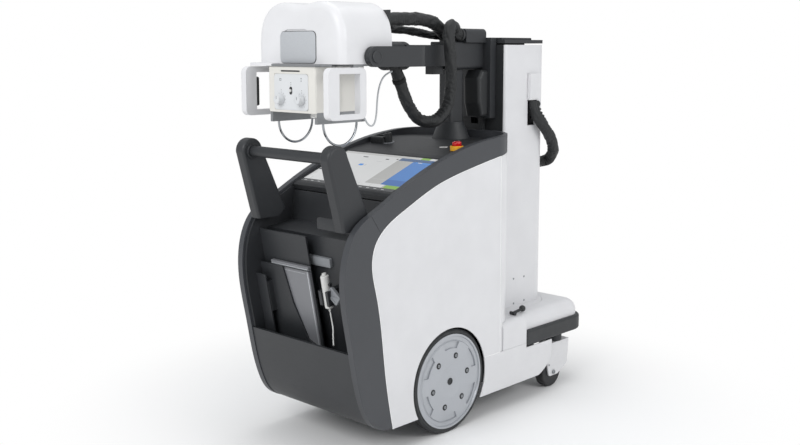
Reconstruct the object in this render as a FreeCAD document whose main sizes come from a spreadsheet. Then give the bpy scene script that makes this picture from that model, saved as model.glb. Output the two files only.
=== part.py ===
import FreeCAD, Part
import math
import os
import re

import Sketcher

# Mobile x-ray machine. Millimetres, +Z up, +X is the machine's right-hand side.
# The operator drives it from the -Y end, and the column stands at the +Y end.
# The origin is on the floor, under the middle of the machine.

SIZES = (
    # General
    ("body_half_width", 277.5),
    ("cover_wall", 4.0),
    ("seam", 0.5),
    ("running_gap", 0.4),
    # Side outline of the body, as distances forward (-Y) and heights
    ("nose_forward", 669.0),
    ("nose_height", 680.0),
    ("brow_forward", 614.0),
    ("brow_height", 803.0),
    ("chin_forward", 590.0),
    ("chin_height", 200.0),
    ("toe_forward", 484.0),
    ("skirt_height", 98.0),
    ("console_front_forward", 423.0),
    ("console_front_height", 902.0),
    ("shoulder_forward", 195.0),
    ("shoulder_height", 998.0),
    ("body_rear_y", 250.0),
    ("body_corner_radius", 135.0),
    ("deck_edge_height", 1060.0),
    ("deck_rear_rise", 8.0),
    ("band_width", 25.0),
    ("band_depth_front", 120.0),
    ("band_depth_top", 62.0),
    ("band_foot_depth", 42.0),
    # Drive wheels
    ("wheel_y", -153.0),
    ("wheel_radius", 190.0),
    ("wheel_width", 46.0),
    ("wheel_reveal", 1.5),
    ("tyre_depth", 17.0),
    ("arch_gap", 7.0),
    ("wheel_bolt_circle", 95.0),
    ("wheel_bolt_radius", 8.0),
    ("wheel_bore", 11.0),
    ("axle_radius", 10.9),
    # Castors
    ("castor_inset", 57.5),
    ("castor_x", "=body_half_width - castor_inset"),
    ("castor_y", 565.0),
    ("castor_radius", 62.5),
    ("castor_trail", 40.0),
    ("castor_width", 42.0),
    ("castor_fork_wall", 6.0),
    ("castor_top", 186.0),
    ("castor_pin_radius", 6.0),
    ("castor_stem_radius", 14.0),
    # Base at the column end
    ("base_rear_y", 703.0),
    ("base_corner_radius", 66.0),
    ("base_low", 237.0),
    ("base_top", 345.0),
    ("base_round", 46.0),
    ("bumper_low", 222.0),
    ("bumper_high", 284.0),
    ("bumper_thickness", 15.0),
    ("base_half_width", "=body_half_width - bumper_thickness - seam"),
    ("bumper_start_y", 300.0),
    ("frame_low", 104.0),
    ("frame_plate", 10.0),
    ("frame_half_width", 200.0),
    # Column
    ("column_y", 460.0),
    ("column_half_width", 140.0),
    ("column_depth", 275.0),
    ("column_front_radius", 12.0),
    ("column_rear_radius", 60.0),
    ("column_top", 1397.0),
    ("column_front_half", 128.0),
    ("column_slot_half", 34.0),
    ("hood_proud", 16.0),
    ("hood_front", 3.0),
    ("hood_width", 70.0),
    ("hood_low", 1178.0),
    ("hood_height", 106.0),
    ("cable_slot_length", 108.0),
    ("slot_low", 1085.0),
    ("turntable_radius", 188.0),
    ("turntable_thickness", 14.0),
    ("mast_half_width", 58.0),
    ("mast_length", 760.0),
    ("mast_wall", 8.0),
    ("cap_thickness", 22.0),
    # Carriage and telescopic arm
    ("carriage_front_y", 286.0),
    ("carriage_half_width", 92.0),
    ("carriage_low", 1112.0),
    ("guide_left", 4.0),
    ("guide_right", 80.0),
    ("arm_height", 1356.0),
    ("arm_half_height", 52.5),
    ("arm_half_width", 55.0),
    ("arm_wall", 6.0),
    ("arm_front_y", 100.0),
    ("boot_front_y", 166.0),
    ("boot_left", 68.0),
    ("boot_right", 70.0),
    ("boot_rise", 50.0),
    ("yoke_back_y", -210.0),
    ("hub_radius", 52.0),
    ("hub_length", 72.0),
    # Fork and tube head
    ("pivot_y", -485.0),
    ("fork_inner_half", 214.5),
    ("fork_plate", 24.0),
    ("fork_half_height", 34.0),
    ("fork_corner", 70.0),
    ("pivot_radius", 15.0),
    ("head_half_width", 212.0),
    ("head_front_y", -617.0),
    ("head_rear_y", -388.0),
    ("head_low", 1331.5),
    ("head_shoulder", 1400.0),
    ("head_top", 1537.0),
    ("head_saddle", 9.0),
    ("head_round", 26.0),
    ("tube_radius", 70.0),
    ("head_plate_thickness", 8.0),
    ("collimator_half_width", 119.0),
    ("collimator_front_y", -650.0),
    ("collimator_depth", 226.0),
    ("collimator_low", 1171.0),
    ("collimator_turn_y", -535.0),
    ("panel_thickness", 3.0),
    ("knob_radius", 17.0),
    ("knob_length", 20.0),
    ("knob_spacing", 104.0),
    ("knob_offset", 2.0),
    ("button_rise", 30.0),
    ("button_radius", 5.0),
    ("panel_half", 86.0),
    ("panel_rise", 8.0),
    ("panel_top", 1299.0),
    ("card_slot_low", 1306.0),
    ("card_slot_opening", 5.0),
    ("card_slot_left", 52.0),
    ("card_slot_right", 44.0),
    ("knob_height", 1214.0),
    ("knob_shaft_radius", 4.0),
    ("rail_height", 35.0),
    ("rail_width", 12.0),
    ("rail_notch_depth", 3.0),
    ("loop_radius", 76.0),
    ("loop_wire", 2.6),
    ("grip_outer_half", 223.0),
    ("grip_thickness", 26.0),
    ("grip_front_y", -684.0),
    ("grip_rear_y", -519.0),
    ("grip_low", 1154.0),
    # Handle
    ("handle_inset", 36.5),
    ("handle_outer_half", "=body_half_width - handle_inset"),
    ("handle_thickness", 47.0),
    ("handle_bar_y", -660.0),
    ("handle_bar_height", 1030.0),
    ("handle_bar_radius", 19.0),
    ("handle_head_radius", 45.0),
    ("handle_foot_forward", 640.0),
    ("handle_foot_depth", 122.0),
    ("handle_foot_height", 790.0),
    # Bin at the front
    ("bin_lean", 11.0),
    ("bin_lip_height", 388.0),
    ("bin_lip_forward", 621.0),
    ("bin_floor_height", 300.0),
    ("bin_floor_front", 598.0),
    ("bin_floor_rear", 478.0),
    ("bin_wall", 4.0),
    ("bin_inset", 36.5),
    ("bin_side_half", "=body_half_width - bin_inset"),
    ("bin_shelf_height", 748.0),
    ("bin_shelf_rear", 452.0),
    ("detector_left", 188.0),
    ("detector_width", 200.0),
    ("detector_length", 340.0),
    ("detector_thickness", 15.0),
    ("detector_foot_forward", 532.0),
    ("detector_foot_height", 302.0),
    ("guide_wall", 6.0),
    # Console
    ("console_rear_height", 1036.0),
    ("screen_front_forward", 418.0),
    ("screen_front_height", 901.0),
    ("screen_width", 480.0),
    ("screen_length", 267.0),
    ("screen_lean", 20.6),
    ("screen_thickness", 4.0),
    ("console_thickness", 9.0),
    ("post_y", 160.0),
    ("post_width", 66.0),
    ("post_depth", 80.0),
    ("post_top", 1302.0),
    ("post_foot_radius", 74.0),
    ("post_foot_height", 66.0),
    ("post_round", 14.0),
    ("stop_inset", 71.5),
    ("stop_x", "=body_half_width - stop_inset"),
    ("stop_y", -42.0),
    ("stop_base_radius", 22.0),
    ("stop_base_height", 9.0),
    ("stop_head_radius", 17.0),
    ("stop_head_height", 16.0),
    ("stop_travel", 5.0),
    # Hand switch
    ("switch_x", 106.0),
    ("switch_forward", 583.0),
    ("switch_height", 512.0),
    ("switch_radius", 15.0),
    ("switch_length", 118.0),
    ("switch_cord_radius", 2.5),
    # Brake pedal
    ("pedal_inset", 51.5),
    ("pedal_x", "=body_half_width - pedal_inset"),
    ("pedal_y", 330.0),
    ("pedal_radius", 13.0),
    # Cables
    ("sleeve_radius", 25.0),
    ("slim_sleeve_radius", 16.0),
    ("rear_sleeve_radius", 24.0),
    ("lead_radius", 3.0),
)

doc = FreeCAD.newDocument("mobile_xray_machine")
sheet = doc.addObject("Spreadsheet::Sheet", "Sizes")
for row, (name, value) in enumerate(SIZES, start=1):
    sheet.set("A%d" % row, name)
    sheet.set("B%d" % row, str(value))
    sheet.setAlias("B%d" % row, name)
doc.recompute()

WORDS = {name for name, _ in SIZES}
NODES = []
V = FreeCAD.Vector


def size(name):
    """One driving size, read back from the sheet."""
    return float(sheet.get(name))


def linked(text):
    """An expression in the sheet's words, as another object has to write it."""
    return re.sub(r"[a-z][a-z_0-9]*", lambda m: "Sizes." + m.group(0) if m.group(0) in WORDS else m.group(0), text)


def number(text):
    """What an expression in the sheet's words comes to."""
    return float(sheet.evalExpression(linked(text)))


def node(label, item):
    """Keep an object as a sub-part, under the name its file gets."""
    item.Label = label
    NODES.append(item)
    return item


# Helpers for primitives and booleans


def block(name, low, high):
    """A box between two corners, each three expressions."""
    item = doc.addObject("Part::Box", name)
    for side, start, end in zip(("Length", "Width", "Height"), low, high):
        item.setExpression(side, linked("(%s) - (%s)" % (end, start)))
    for axis, start in zip("xyz", low):
        item.setExpression("Placement.Base." + axis, linked(start))
    return item


TURNS = {"x": (V(0, 1, 0), 90), "y": (V(1, 0, 0), -90), "z": (V(0, 0, 1), 0)}


def rod(name, axis, start, length, radius, kind="Part::Cylinder", top=None):
    """A cylinder, or a cone with a top radius, from a start point along x, y or z."""
    item = doc.addObject(kind if top is None else "Part::Cone", name)
    item.Placement = FreeCAD.Placement(V(0, 0, 0), FreeCAD.Rotation(*TURNS[axis]))
    if top is None:
        item.setExpression("Radius", linked(radius))
    else:
        item.setExpression("Radius1", linked(radius))
        item.setExpression("Radius2", linked(top))
    item.setExpression("Height", linked(length))
    for letter, place in zip("xyz", start):
        item.setExpression("Placement.Base." + letter, linked(place))
    return item


def fuse(name, *parts):
    item = doc.addObject("Part::MultiFuse", name)
    item.Shapes = list(parts)
    item.Refine = True
    return item


def cut(name, base, *tools):
    item = doc.addObject("Part::Cut", name)
    item.Base = base
    item.Tool = tools[0] if len(tools) == 1 else fuse(name + "_tools", *tools)
    item.Refine = True
    return item


def group(name, *parts):
    """Separate solids that share one node."""
    item = doc.addObject("Part::Compound", name)
    item.Links = list(parts)
    return item


def mirrored(name, source):
    """The same piece on the machine's other side."""
    item = doc.addObject("Part::Mirroring", name)
    item.Source = source
    item.Normal = V(1, 0, 0)
    return item


def computed(name, shape):
    """A solid made with the kernel's own functions, from sizes in the sheet."""
    item = doc.addObject("Part::Feature", name)
    item.Shape = shape
    return item


# Helpers for sketched bodies


def new_body(name):
    return doc.addObject("PartDesign::Body", name)


def sketch_on(body, name, role, offset="0"):
    """A sketch on one of the body's own origin planes, moved along its normal."""
    plane = [f for f in body.Origin.OriginFeatures if f.Role == role][0]
    item = body.newObject("Sketcher::SketchObject", name)
    item.AttachmentSupport = [(plane, "")]
    item.MapMode = "FlatFace"
    item.setExpression("AttachmentOffset.Base.z", linked(offset))
    return item


def pinned_polygon(item, points):
    """A closed outline whose corners are each held by two dimensions."""
    first = item.GeometryCount
    places = [(number(a), number(b)) for a, b in points]
    for i, place in enumerate(places):
        end = places[(i + 1) % len(places)]
        item.addGeometry(Part.LineSegment(V(*place, 0), V(*end, 0)), False)
    for i, (across, up) in enumerate(points):
        item.addConstraint(Sketcher.Constraint("Coincident", first + i, 2, first + (i + 1) % len(points), 1))
        for kind, value, text in (("DistanceX", places[i][0], across), ("DistanceY", places[i][1], up)):
            index = item.addConstraint(Sketcher.Constraint(kind, -1, 1, first + i, 1, value))
            item.setExpression("Constraints[%d]" % index, linked(text))


def pinned_circle(item, across, up, radius):
    place = V(number(across), number(up), 0)
    index = item.addGeometry(Part.Circle(place, V(0, 0, 1), number(radius)), False)
    for kind, value, text in (("DistanceX", place.x, across), ("DistanceY", place.y, up)):
        held = item.addConstraint(Sketcher.Constraint(kind, -1, 1, index, 3, value))
        item.setExpression("Constraints[%d]" % held, linked(text))
    held = item.addConstraint(Sketcher.Constraint("Radius", index, number(radius)))
    item.setExpression("Constraints[%d]" % held, linked(radius))


def rectangle(item, left, low, right, high):
    pinned_polygon(item, ((left, low), (right, low), (right, high), (left, high)))


def pad(body, item, length, back=False):
    feature = body.newObject("PartDesign::Pad", item.Name + "_pad")
    feature.Profile = item
    feature.setExpression("Length", linked(length))
    feature.Reversed = back
    doc.recompute()
    body.Tip = feature
    return feature


def pocket(body, item, length, back=False):
    """A cut from the sketch; the volume has to drop."""
    before = body.Shape.Volume
    feature = body.newObject("PartDesign::Pocket", item.Name + "_pocket")
    feature.Profile = item
    feature.setExpression("Length", linked(length))
    feature.Reversed = back
    doc.recompute()
    body.Tip = feature
    assert body.Shape.Volume < before - 1, "pocket %s cuts nothing" % item.Name
    return feature


def round_off(body, radius, wanted):
    """Fillet the edges of the body's last shape that a test picks by their middle and direction."""
    feature_edges = []
    base = body.Tip
    for index, edge in enumerate(base.Shape.Edges, start=1):
        middle = edge.valueAt((edge.FirstParameter + edge.LastParameter) / 2)
        along = edge.tangentAt((edge.FirstParameter + edge.LastParameter) / 2)
        if wanted(middle, along):
            feature_edges.append("Edge%d" % index)
    assert feature_edges, "no edge to round on %s" % body.Name
    feature = body.newObject("PartDesign::Fillet", "%s_round_%d" % (body.Name, len(body.Group)))
    feature.Base = (base, feature_edges)
    feature.setExpression("Radius", linked(radius))
    doc.recompute()
    body.Tip = feature
    assert feature.isValid(), "rounding %s failed" % feature.Name
    return feature


def upright(middle, along):
    return abs(along.z) > 0.99


def along_x(middle, along):
    return abs(along.x) > 0.99


def along_y(middle, along):
    return abs(along.y) > 0.99


# Helpers for outlines seen from the side


def side_face(edges):
    return Part.Face(Part.Wire(Part.__sortEdges__(edges)))


def smooth(points):
    """One smooth curve through points given as (y, z)."""
    curve = Part.BSplineCurve()
    curve.interpolate([V(0, y, z) for y, z in points])
    return curve.toShape()


def lines(points):
    """Straight edges through points given as (y, z)."""
    places = [V(0, y, z) for y, z in points]
    return [Part.makeLine(a, b) for a, b in zip(places, places[1:])]


def across(face, left, right):
    """The side outline pushed through the machine from one x to another."""
    face = face.copy()
    face.translate(V(left, 0, 0))
    return face.extrude(V(right - left, 0, 0))


def outline_curve(inset=0.0):
    """The body's front and top edge seen from the side, from the toe up to the deck's rear edge."""
    nose, brow = size("nose_forward"), size("brow_forward")
    chin, toe = size("chin_forward"), size("toe_forward")
    low, deck = size("skirt_height"), size("deck_edge_height")
    front, rise = size("console_front_forward"), size("console_front_height")
    return smooth((
        (-toe + inset, low + inset * 0.4),
        (-(toe + chin) / 2 - 20 + inset, (low + size("chin_height")) / 2 - 10 + inset * 0.6),
        (-chin + inset, size("chin_height")),
        (-(chin + nose) / 2 - 12 + inset, (size("chin_height") + size("nose_height")) / 2 - 25),
        (-nose + inset, size("nose_height") - inset * 0.2),
        (-brow + inset * 0.8, size("brow_height") - inset * 0.7),
        (-(brow + front) / 2 + inset * 0.4, (size("brow_height") + rise) / 2 + 5 - inset * 0.9),
        (-front + inset * 0.3, rise + 4 - inset),
        (-size("shoulder_forward"), size("shoulder_height") - inset),
        (-52, deck - 24 - inset),
        (128, deck - inset),
        (size("body_rear_y") + 20, deck + size("deck_rear_rise") - inset),
    ))


def body_side():
    """The whole side area inside the outline, closed well behind the body."""
    low, rear = size("skirt_height"), size("body_rear_y") + 20
    return side_face([outline_curve()] + lines((
        (rear, size("deck_edge_height") + size("deck_rear_rise")),
        (rear, low),
        (-size("toe_forward"), low),
    )))


def panel_side():
    """The side area of the light panels, inside the dark band."""
    low = size("skirt_height") - 4
    deep, top = size("band_depth_front"), size("band_depth_top")
    nose, brow = size("nose_forward") - deep, size("brow_forward") - deep
    chin = size("chin_forward") - deep + 18
    foot = size("toe_forward") - size("band_foot_depth") + 10
    rear = size("body_rear_y") + 20
    edge = smooth((
        (-foot, low),
        (-chin, size("chin_height") + 90),
        (-(nose - 19), size("nose_height") - 105),
        (-nose, size("nose_height") + 5),
        (-(brow + 37), size("brow_height") - 56),
        (-(brow - 12), size("brow_height") - 6),
        (-(size("console_front_forward") - 37), size("console_front_height") - top + 7),
        (-(size("console_front_forward") - 191), size("console_front_height") + 9),
        (-67, size("deck_edge_height") - top - 46),
        (160, size("deck_edge_height") - top - 5),
        (rear, size("deck_edge_height") - top + 12),
    ))
    return side_face([edge] + lines((
        (rear, size("deck_edge_height") - top + 12),
        (rear, low),
        (-foot, low),
    )))


def plan(half, rear, corner, low, high, front=-900.0):
    """A block with the body's plan: square in front, with two round corners behind."""
    points = [V(-half, front, low), V(half, front, low), V(half, rear - corner, low)]
    lean = math.sqrt(0.5) * corner
    right = Part.Arc(points[2], V(half - corner + lean, rear - corner + lean, low), V(half - corner, rear, low))
    left_low = V(-half, rear - corner, low)
    left = Part.Arc(V(-half + corner, rear, low), V(-half + corner - lean, rear - corner + lean, low), left_low)
    wire = Part.Wire([
        Part.makeLine(points[0], points[1]),
        Part.makeLine(points[1], points[2]),
        right.toShape(),
        Part.makeLine(V(half - corner, rear, low), V(-half + corner, rear, low)),
        left.toShape(),
        Part.makeLine(left_low, points[0]),
    ])
    return Part.Face(wire).extrude(V(0, 0, high - low))


def body_ring(wall, rear_wall):
    """The body's upright skin, as thick as asked at the sides and at the rear."""
    half, rear, corner = size("body_half_width"), size("body_rear_y"), size("body_corner_radius")
    outer = plan(half, rear, corner, 40, 1140)
    inner = plan(half - wall, rear - rear_wall, corner - max(wall, rear_wall), 30, 1150, -950.0)
    return outer.cut(inner)


def half_space(side):
    """A large block on one side of the machine's middle plane."""
    return Part.makeBox(600, 2000, 2000, V(0.25 if side > 0 else -600.25, -1000, 0))


def wheel_arch():
    """The room round a drive wheel, as a cylinder through the whole body."""
    radius = size("wheel_radius") + size("arch_gap")
    return Part.makeCylinder(radius, 700, V(-350, size("wheel_y"), size("wheel_radius")), V(1, 0, 0))


# Covers


def side_bands():
    """The dark bands that frame both sides and wrap round the rear corners."""
    band = body_side().cut(panel_side())
    skin = body_ring(size("band_width"), 8.0)
    far = size("body_half_width") + 20
    solid = across(band, -far, far).common(skin)
    return [solid.common(half_space(side)) for side in (1, -1)]


def side_panels():
    """The light outer panels, with the wheel arch cut out of their lower edge."""
    gap = size("seam")
    inner = panel_side()
    far = size("body_half_width") + 20
    solid = across(inner, -far, far).common(body_ring(size("cover_wall"), size("cover_wall")))
    solid.translate(V(0, gap, -gap))
    half = size("body_half_width")
    low_rear = Part.makeBox(2 * half + 40, 400, size("base_low") - 20, V(-half - 20, size("wheel_y"), 20))
    behind = Part.makeBox(2 * half - 60, 400, size("base_top") + 1, V(-half + 30, size("wheel_y"), 0))
    solid = solid.cut(wheel_arch()).cut(low_rear).cut(behind)
    rear_low = Part.makeBox(2 * half + 40, 300, size("base_top") + 1, V(-half - 20, size("body_rear_y") - 98, 0))
    solid = solid.cut(rear_low)
    return [solid.common(half_space(side)) for side in (1, -1)]


def side_skirts():
    """The lower light panels between a drive wheel and a castor, with the castor's arch."""
    half, wall = size("body_half_width"), size("cover_wall")
    low, high = size("skirt_height") - 10, size("base_low") - size("seam")
    reach = size("castor_trail") + size("castor_radius") + 8
    end = size("castor_y") - 60
    wire = lines(((size("wheel_y"), low), (end - 120, low)))
    wire.append(Part.Arc(V(0, end - 120, low), V(0, end - 52, low + 42), V(0, end, high - 22)).toShape())
    wire += lines(((end, high - 22), (end, high - 18), (size("bumper_start_y"), high - 18),
                   (size("bumper_start_y"), high), (size("wheel_y"), high), (size("wheel_y"), low)))
    solid = across(side_face(wire), half - wall, half)
    solid = solid.cut(wheel_arch())
    post = Part.makeCylinder(reach, 400, V(size("castor_x"), size("castor_y"), -50), V(0, 0, 1))
    solid = solid.cut(post)
    return [solid, solid.mirror(V(0, 0, 0), V(1, 0, 0))]


def front_cover():
    """The dark front wall below the bin's lip, curved in under the machine."""
    half = size("body_half_width") - size("band_width") - size("seam")
    skin = across(body_side(), -half, half)
    shallow = skin.copy()
    shallow.translate(V(0, 3.0, 0))
    hollow = skin.copy()
    hollow.translate(V(0, 3.0 + size("cover_wall") + 1, size("cover_wall")))
    lip = Part.makeBox(2 * half + 2, 900, 900, V(-half - 1, -900, size("bin_lip_height")))
    behind = Part.makeBox(2 * half + 2, 900, 900, V(-half - 1, -size("toe_forward") + 60, 0))
    return shallow.cut(lip).cut(behind).cut(hollow)


def base_cover():
    """The domed light shell round the column's foot, open below."""
    body = new_body("base_cover")
    item = sketch_on(body, "base_plan", "XY_Plane", "base_low")
    side, wide = "base_half_width", "body_half_width"
    front, step = "body_rear_y - 98 + seam", "bumper_start_y - seam"
    pinned_polygon(item, (
        ("-" + wide, front), (wide, front), (wide, step), (side, step),
        (side, "base_rear_y"), ("-" + side, "base_rear_y"), ("-" + side, step), ("-" + wide, step),
    ))
    pad(body, item, "base_top - base_low")
    rear, top = size("base_rear_y"), size("base_top")
    round_off(body, "base_corner_radius", lambda m, a: upright(m, a) and m.y > rear - 1)
    start = number(step)
    round_off(body, "base_round", lambda m, a: m.z > top - 0.01 and m.y > start + 1)
    round_off(body, "base_round * 0.6", lambda m, a: m.z > top - 0.01 and along_y(m, a) and m.y < start)
    hollow = sketch_on(body, "base_hollow", "XY_Plane", "base_low")
    inner = "base_half_width - cover_wall * 3"
    rectangle(hollow, "-(%s)" % inner, front + " - 1", inner, "base_rear_y - cover_wall * 4")
    pocket(body, hollow, "base_top - base_low - base_round", back=True)
    seat = sketch_on(body, "turntable_seat", "XY_Plane", "base_top")
    pinned_circle(seat, "0", "column_y", "turntable_radius + running_gap * 2")
    pocket(body, seat, "base_top - base_low + 1")
    return body


def bumper():
    """The dark buffer that wraps round the column end."""
    body = new_body("bumper")
    item = sketch_on(body, "bumper_plan", "XY_Plane", "bumper_low")
    outer = "base_half_width + seam + bumper_thickness"
    rectangle(item, "-(%s)" % outer, "bumper_start_y", outer, "base_rear_y + seam + bumper_thickness")
    pad(body, item, "bumper_high - bumper_low")
    rear = number("base_rear_y + seam + bumper_thickness")
    round_off(body, "base_corner_radius + bumper_thickness + seam", lambda m, a: upright(m, a) and m.y > rear - 1)
    low, high, start = size("bumper_low"), size("bumper_high"), size("bumper_start_y")

    def outer_rim(middle, along):
        return (abs(middle.z - low) < 0.01 or abs(middle.z - high) < 0.01) and middle.y > start + 1

    round_off(body, "bumper_thickness - 5", outer_rim)
    round_off(body, "bumper_thickness - 3", lambda m, a: upright(m, a) and m.y < start + 1)
    inner = sketch_on(body, "bumper_inside", "XY_Plane", "bumper_low - 1")
    arcs = ("base_half_width + seam", "base_rear_y + seam", "base_corner_radius + seam")
    rounded_cut(inner, *arcs)
    pocket(body, inner, "bumper_high - bumper_low + 2", back=True)
    return body


def rounded_cut(item, half, rear, corner):
    """A U-shaped inside outline with two round corners behind."""
    across_x, back, bend = number(half), number(rear), number(corner)
    start = number("bumper_start_y - 10")
    middle = bend * math.sqrt(0.5)
    edges = (
        Part.LineSegment(V(-across_x, start, 0), V(across_x, start, 0)),
        Part.LineSegment(V(across_x, start, 0), V(across_x, back - bend, 0)),
        Part.Arc(V(across_x, back - bend, 0), V(across_x - bend + middle, back - bend + middle, 0),
                 V(across_x - bend, back, 0)),
        Part.LineSegment(V(across_x - bend, back, 0), V(-across_x + bend, back, 0)),
        Part.Arc(V(-across_x + bend, back, 0), V(-across_x + bend - middle, back - bend + middle, 0),
                 V(-across_x, back - bend, 0)),
        Part.LineSegment(V(-across_x, back - bend, 0), V(-across_x, start, 0)),
    )
    for edge in edges:
        item.addGeometry(edge, False)


def covers():
    node("side_bands", computed("side_bands", Part.makeCompound(side_bands())))
    node("side_panels", computed("side_panels", Part.makeCompound(side_panels())))
    node("side_skirts", computed("side_skirts", Part.makeCompound(side_skirts())))
    node("front_cover", computed("front_cover", front_cover()))
    node("base_cover", base_cover())
    node("bumper", bumper())


# Frame and drive


def base_frame():
    """The welded steel chassis: a floor plate, side tubes, castor housings and the slewing ring."""
    half = "frame_half_width"
    floor_top = "frame_low + frame_plate"
    plate = block("floor_plate", ("-" + half, "-toe_forward + 30", "frame_low"),
                  (half, "castor_y - castor_trail - castor_radius - 30", floor_top))
    parts = [plate]
    for side, sign in (("right", ""), ("left", "-")):
        low = "frame_half_width - 40" if sign == "" else "-frame_half_width"
        high = "frame_half_width" if sign == "" else "40 - frame_half_width"
        parts.append(block("side_tube_" + side, (low, "-toe_forward + 30", floor_top),
                           (high, "base_rear_y - 60", "frame_low + frame_plate + 90")))
        parts.append(rod("castor_housing_" + side, "z",
                         (sign + "castor_x", "castor_y", "castor_top + running_gap"), "26", "32"))
    parts.append(block("rear_tube", ("-frame_half_width", "base_rear_y - 110", "castor_top + running_gap"),
                       (half, "base_rear_y - 60", "frame_low + frame_plate + 90")))
    parts.append(rod("slewing_ring", "z", ("0", "column_y", floor_top),
                     "base_top - turntable_thickness - running_gap - frame_low - frame_plate", "110"))
    wheels = []
    for side, sign in (("right", ""), ("left", "-")):
        wheels.append(rod("castor_sweep_" + side, "z", (sign + "castor_x", "castor_y", "0"),
                          "castor_top + running_gap", "castor_trail + castor_radius + 10"))
        wheels.append(rod("castor_bore_" + side, "z", (sign + "castor_x", "castor_y", "0"),
                          "castor_top + 40", "castor_stem_radius + 0.05"))
        tube_low = "frame_half_width - 41" if sign == "" else "-frame_half_width - 1"
        tube_high = "frame_half_width + 1" if sign == "" else "41 - frame_half_width"
        wheels.append(block("motor_notch_" + side, (tube_low, "wheel_y - 60", floor_top),
                            (tube_high, "wheel_y + 60", "frame_low + frame_plate + 91")))
    wheels.append(rod("slewing_bore", "z", ("0", "column_y", "0"), "base_top", "60.05"))
    return node("base_frame", cut("base_frame", fuse("frame_weldment", *parts), *wheels))


def drive_motors():
    """The two gearmotors, each with the axle that carries its wheel."""
    solids = []
    reach = "body_half_width - wheel_reveal - 20"
    for side, start, axle_start in (("right", "frame_half_width - 130", "frame_half_width - 2"),
                                    ("left", "-frame_half_width", "-(%s)" % reach)):
        can = rod("motor_can_" + side, "x", (start, "wheel_y", "wheel_radius"), "130", "52")
        foot = block("motor_foot_" + side, (start, "wheel_y - 45", "frame_low + frame_plate"),
                     ("%s + 130" % start, "wheel_y + 45", "wheel_radius"))
        axle = rod("motor_axle_" + side, "x", (axle_start, "wheel_y", "wheel_radius"),
                   "%s - frame_half_width + 2" % reach, "axle_radius")
        solids.append(fuse("motor_" + side, can, foot, axle))
    return node("drive_motors", group("drive_motors", *solids))


def power_modules():
    """The battery pack and the high-voltage generator, both standing on the floor plate."""
    floor_top = "frame_low + frame_plate"
    battery = block("battery_pack", ("-145", "-400", floor_top), ("145", "-230", "frame_low + 170"))
    generator = block("generator", ("-150", "-60", floor_top), ("150", "140", "frame_low + 420"))
    return node("power_modules", group("power_modules", battery, generator))


def drive_wheel(side, sign):
    """A spoked-pocket rim with six socket bolts, and the tyre round it."""
    outer = size("body_half_width") - size("wheel_reveal")
    inner = outer - size("wheel_width")
    hub = V(0, size("wheel_y"), size("wheel_radius"))
    radius, rim = size("wheel_radius"), size("wheel_radius") - size("tyre_depth")

    def turned(profile):
        """Revolve (x from the outer face, radius) points about the wheel's axle."""
        points = [V(x, 0, r) for x, r in profile]
        face = Part.Face(Part.makePolygon(points + points[:1]))
        return face.revolve(V(0, 0, 0), V(1, 0, 0), 360)

    width = size("wheel_width")
    rim_shape = turned(((-2.0, size("wheel_bore")), (-2.0, 40), (0, 60), (-1.0, rim - 26), (-6.0, rim - 22),
                        (-6.0, rim - 9), (-1.5, rim - 7), (-1.5, rim), (-width + 2, rim), (-width + 2, rim - 8),
                        (-16.0, rim - 12), (-16.0, 60), (-width + 6, 50), (-width + 6, size("wheel_bore"))))
    tyre = turned(((-4.0, rim + 0.0), (-2.5, rim + 3), (-2.5, radius - 6), (-8.0, radius), (-width + 8, radius),
                   (-width + 2.5, radius - 6), (-width + 2.5, rim + 3), (-width + 4, rim)))
    bolts = []
    for step in range(6):
        angle = math.radians(72 + 60 * step)
        across_wheel, up = math.cos(angle), math.sin(angle)
        ring = size("wheel_bolt_circle")
        place = V(0, across_wheel * ring, up * ring)
        bolt_radius = size("wheel_bolt_radius")
        seat = Part.makeCylinder(bolt_radius + 2.5, 8, place + V(-9, 0, 0), V(1, 0, 0))
        rim_shape = rim_shape.cut(seat)
        head = Part.makeCylinder(bolt_radius, 7, place + V(-9, 0, 0), V(1, 0, 0))
        socket = Part.makeCylinder(bolt_radius * 0.5, 5, place + V(-6, 0, 0), V(1, 0, 0))
        bolts.append(head.cut(socket))
        middle = angle + math.radians(16)
        recess = annular_pocket(rim - 52, rim - 27, middle, math.radians(15))
        rim_shape = rim_shape.cut(recess)
    shapes = [rim_shape] + bolts
    for shape in shapes + [tyre]:
        shape.translate(V(outer, 0, 0) + hub)
    if sign < 0:
        shapes = [s.mirror(V(0, 0, 0), V(1, 0, 0)) for s in shapes]
        tyre = tyre.mirror(V(0, 0, 0), V(1, 0, 0))
    node("drive_rim_" + side, computed("drive_rim_" + side, Part.makeCompound(shapes)))
    node("drive_tyre_" + side, computed("drive_tyre_" + side, tyre))


def annular_pocket(inside, outside, middle, spread):
    """A curved recess near the rim, open towards the wheel's face."""
    def at(radius, angle):
        return V(-6.0, radius * math.cos(angle), radius * math.sin(angle))

    start, end = middle - spread, middle + spread
    wire = Part.Wire([
        Part.Arc(at(inside, start), at(inside, middle), at(inside, end)).toShape(),
        Part.makeLine(at(inside, end), at(outside, end + 0.04)),
        Part.Arc(at(outside, end + 0.04), at(outside, middle), at(outside, start - 0.04)).toShape(),
        Part.makeLine(at(outside, start - 0.04), at(inside, start)),
    ])
    return Part.Face(wire).extrude(V(12, 0, 0))


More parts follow.
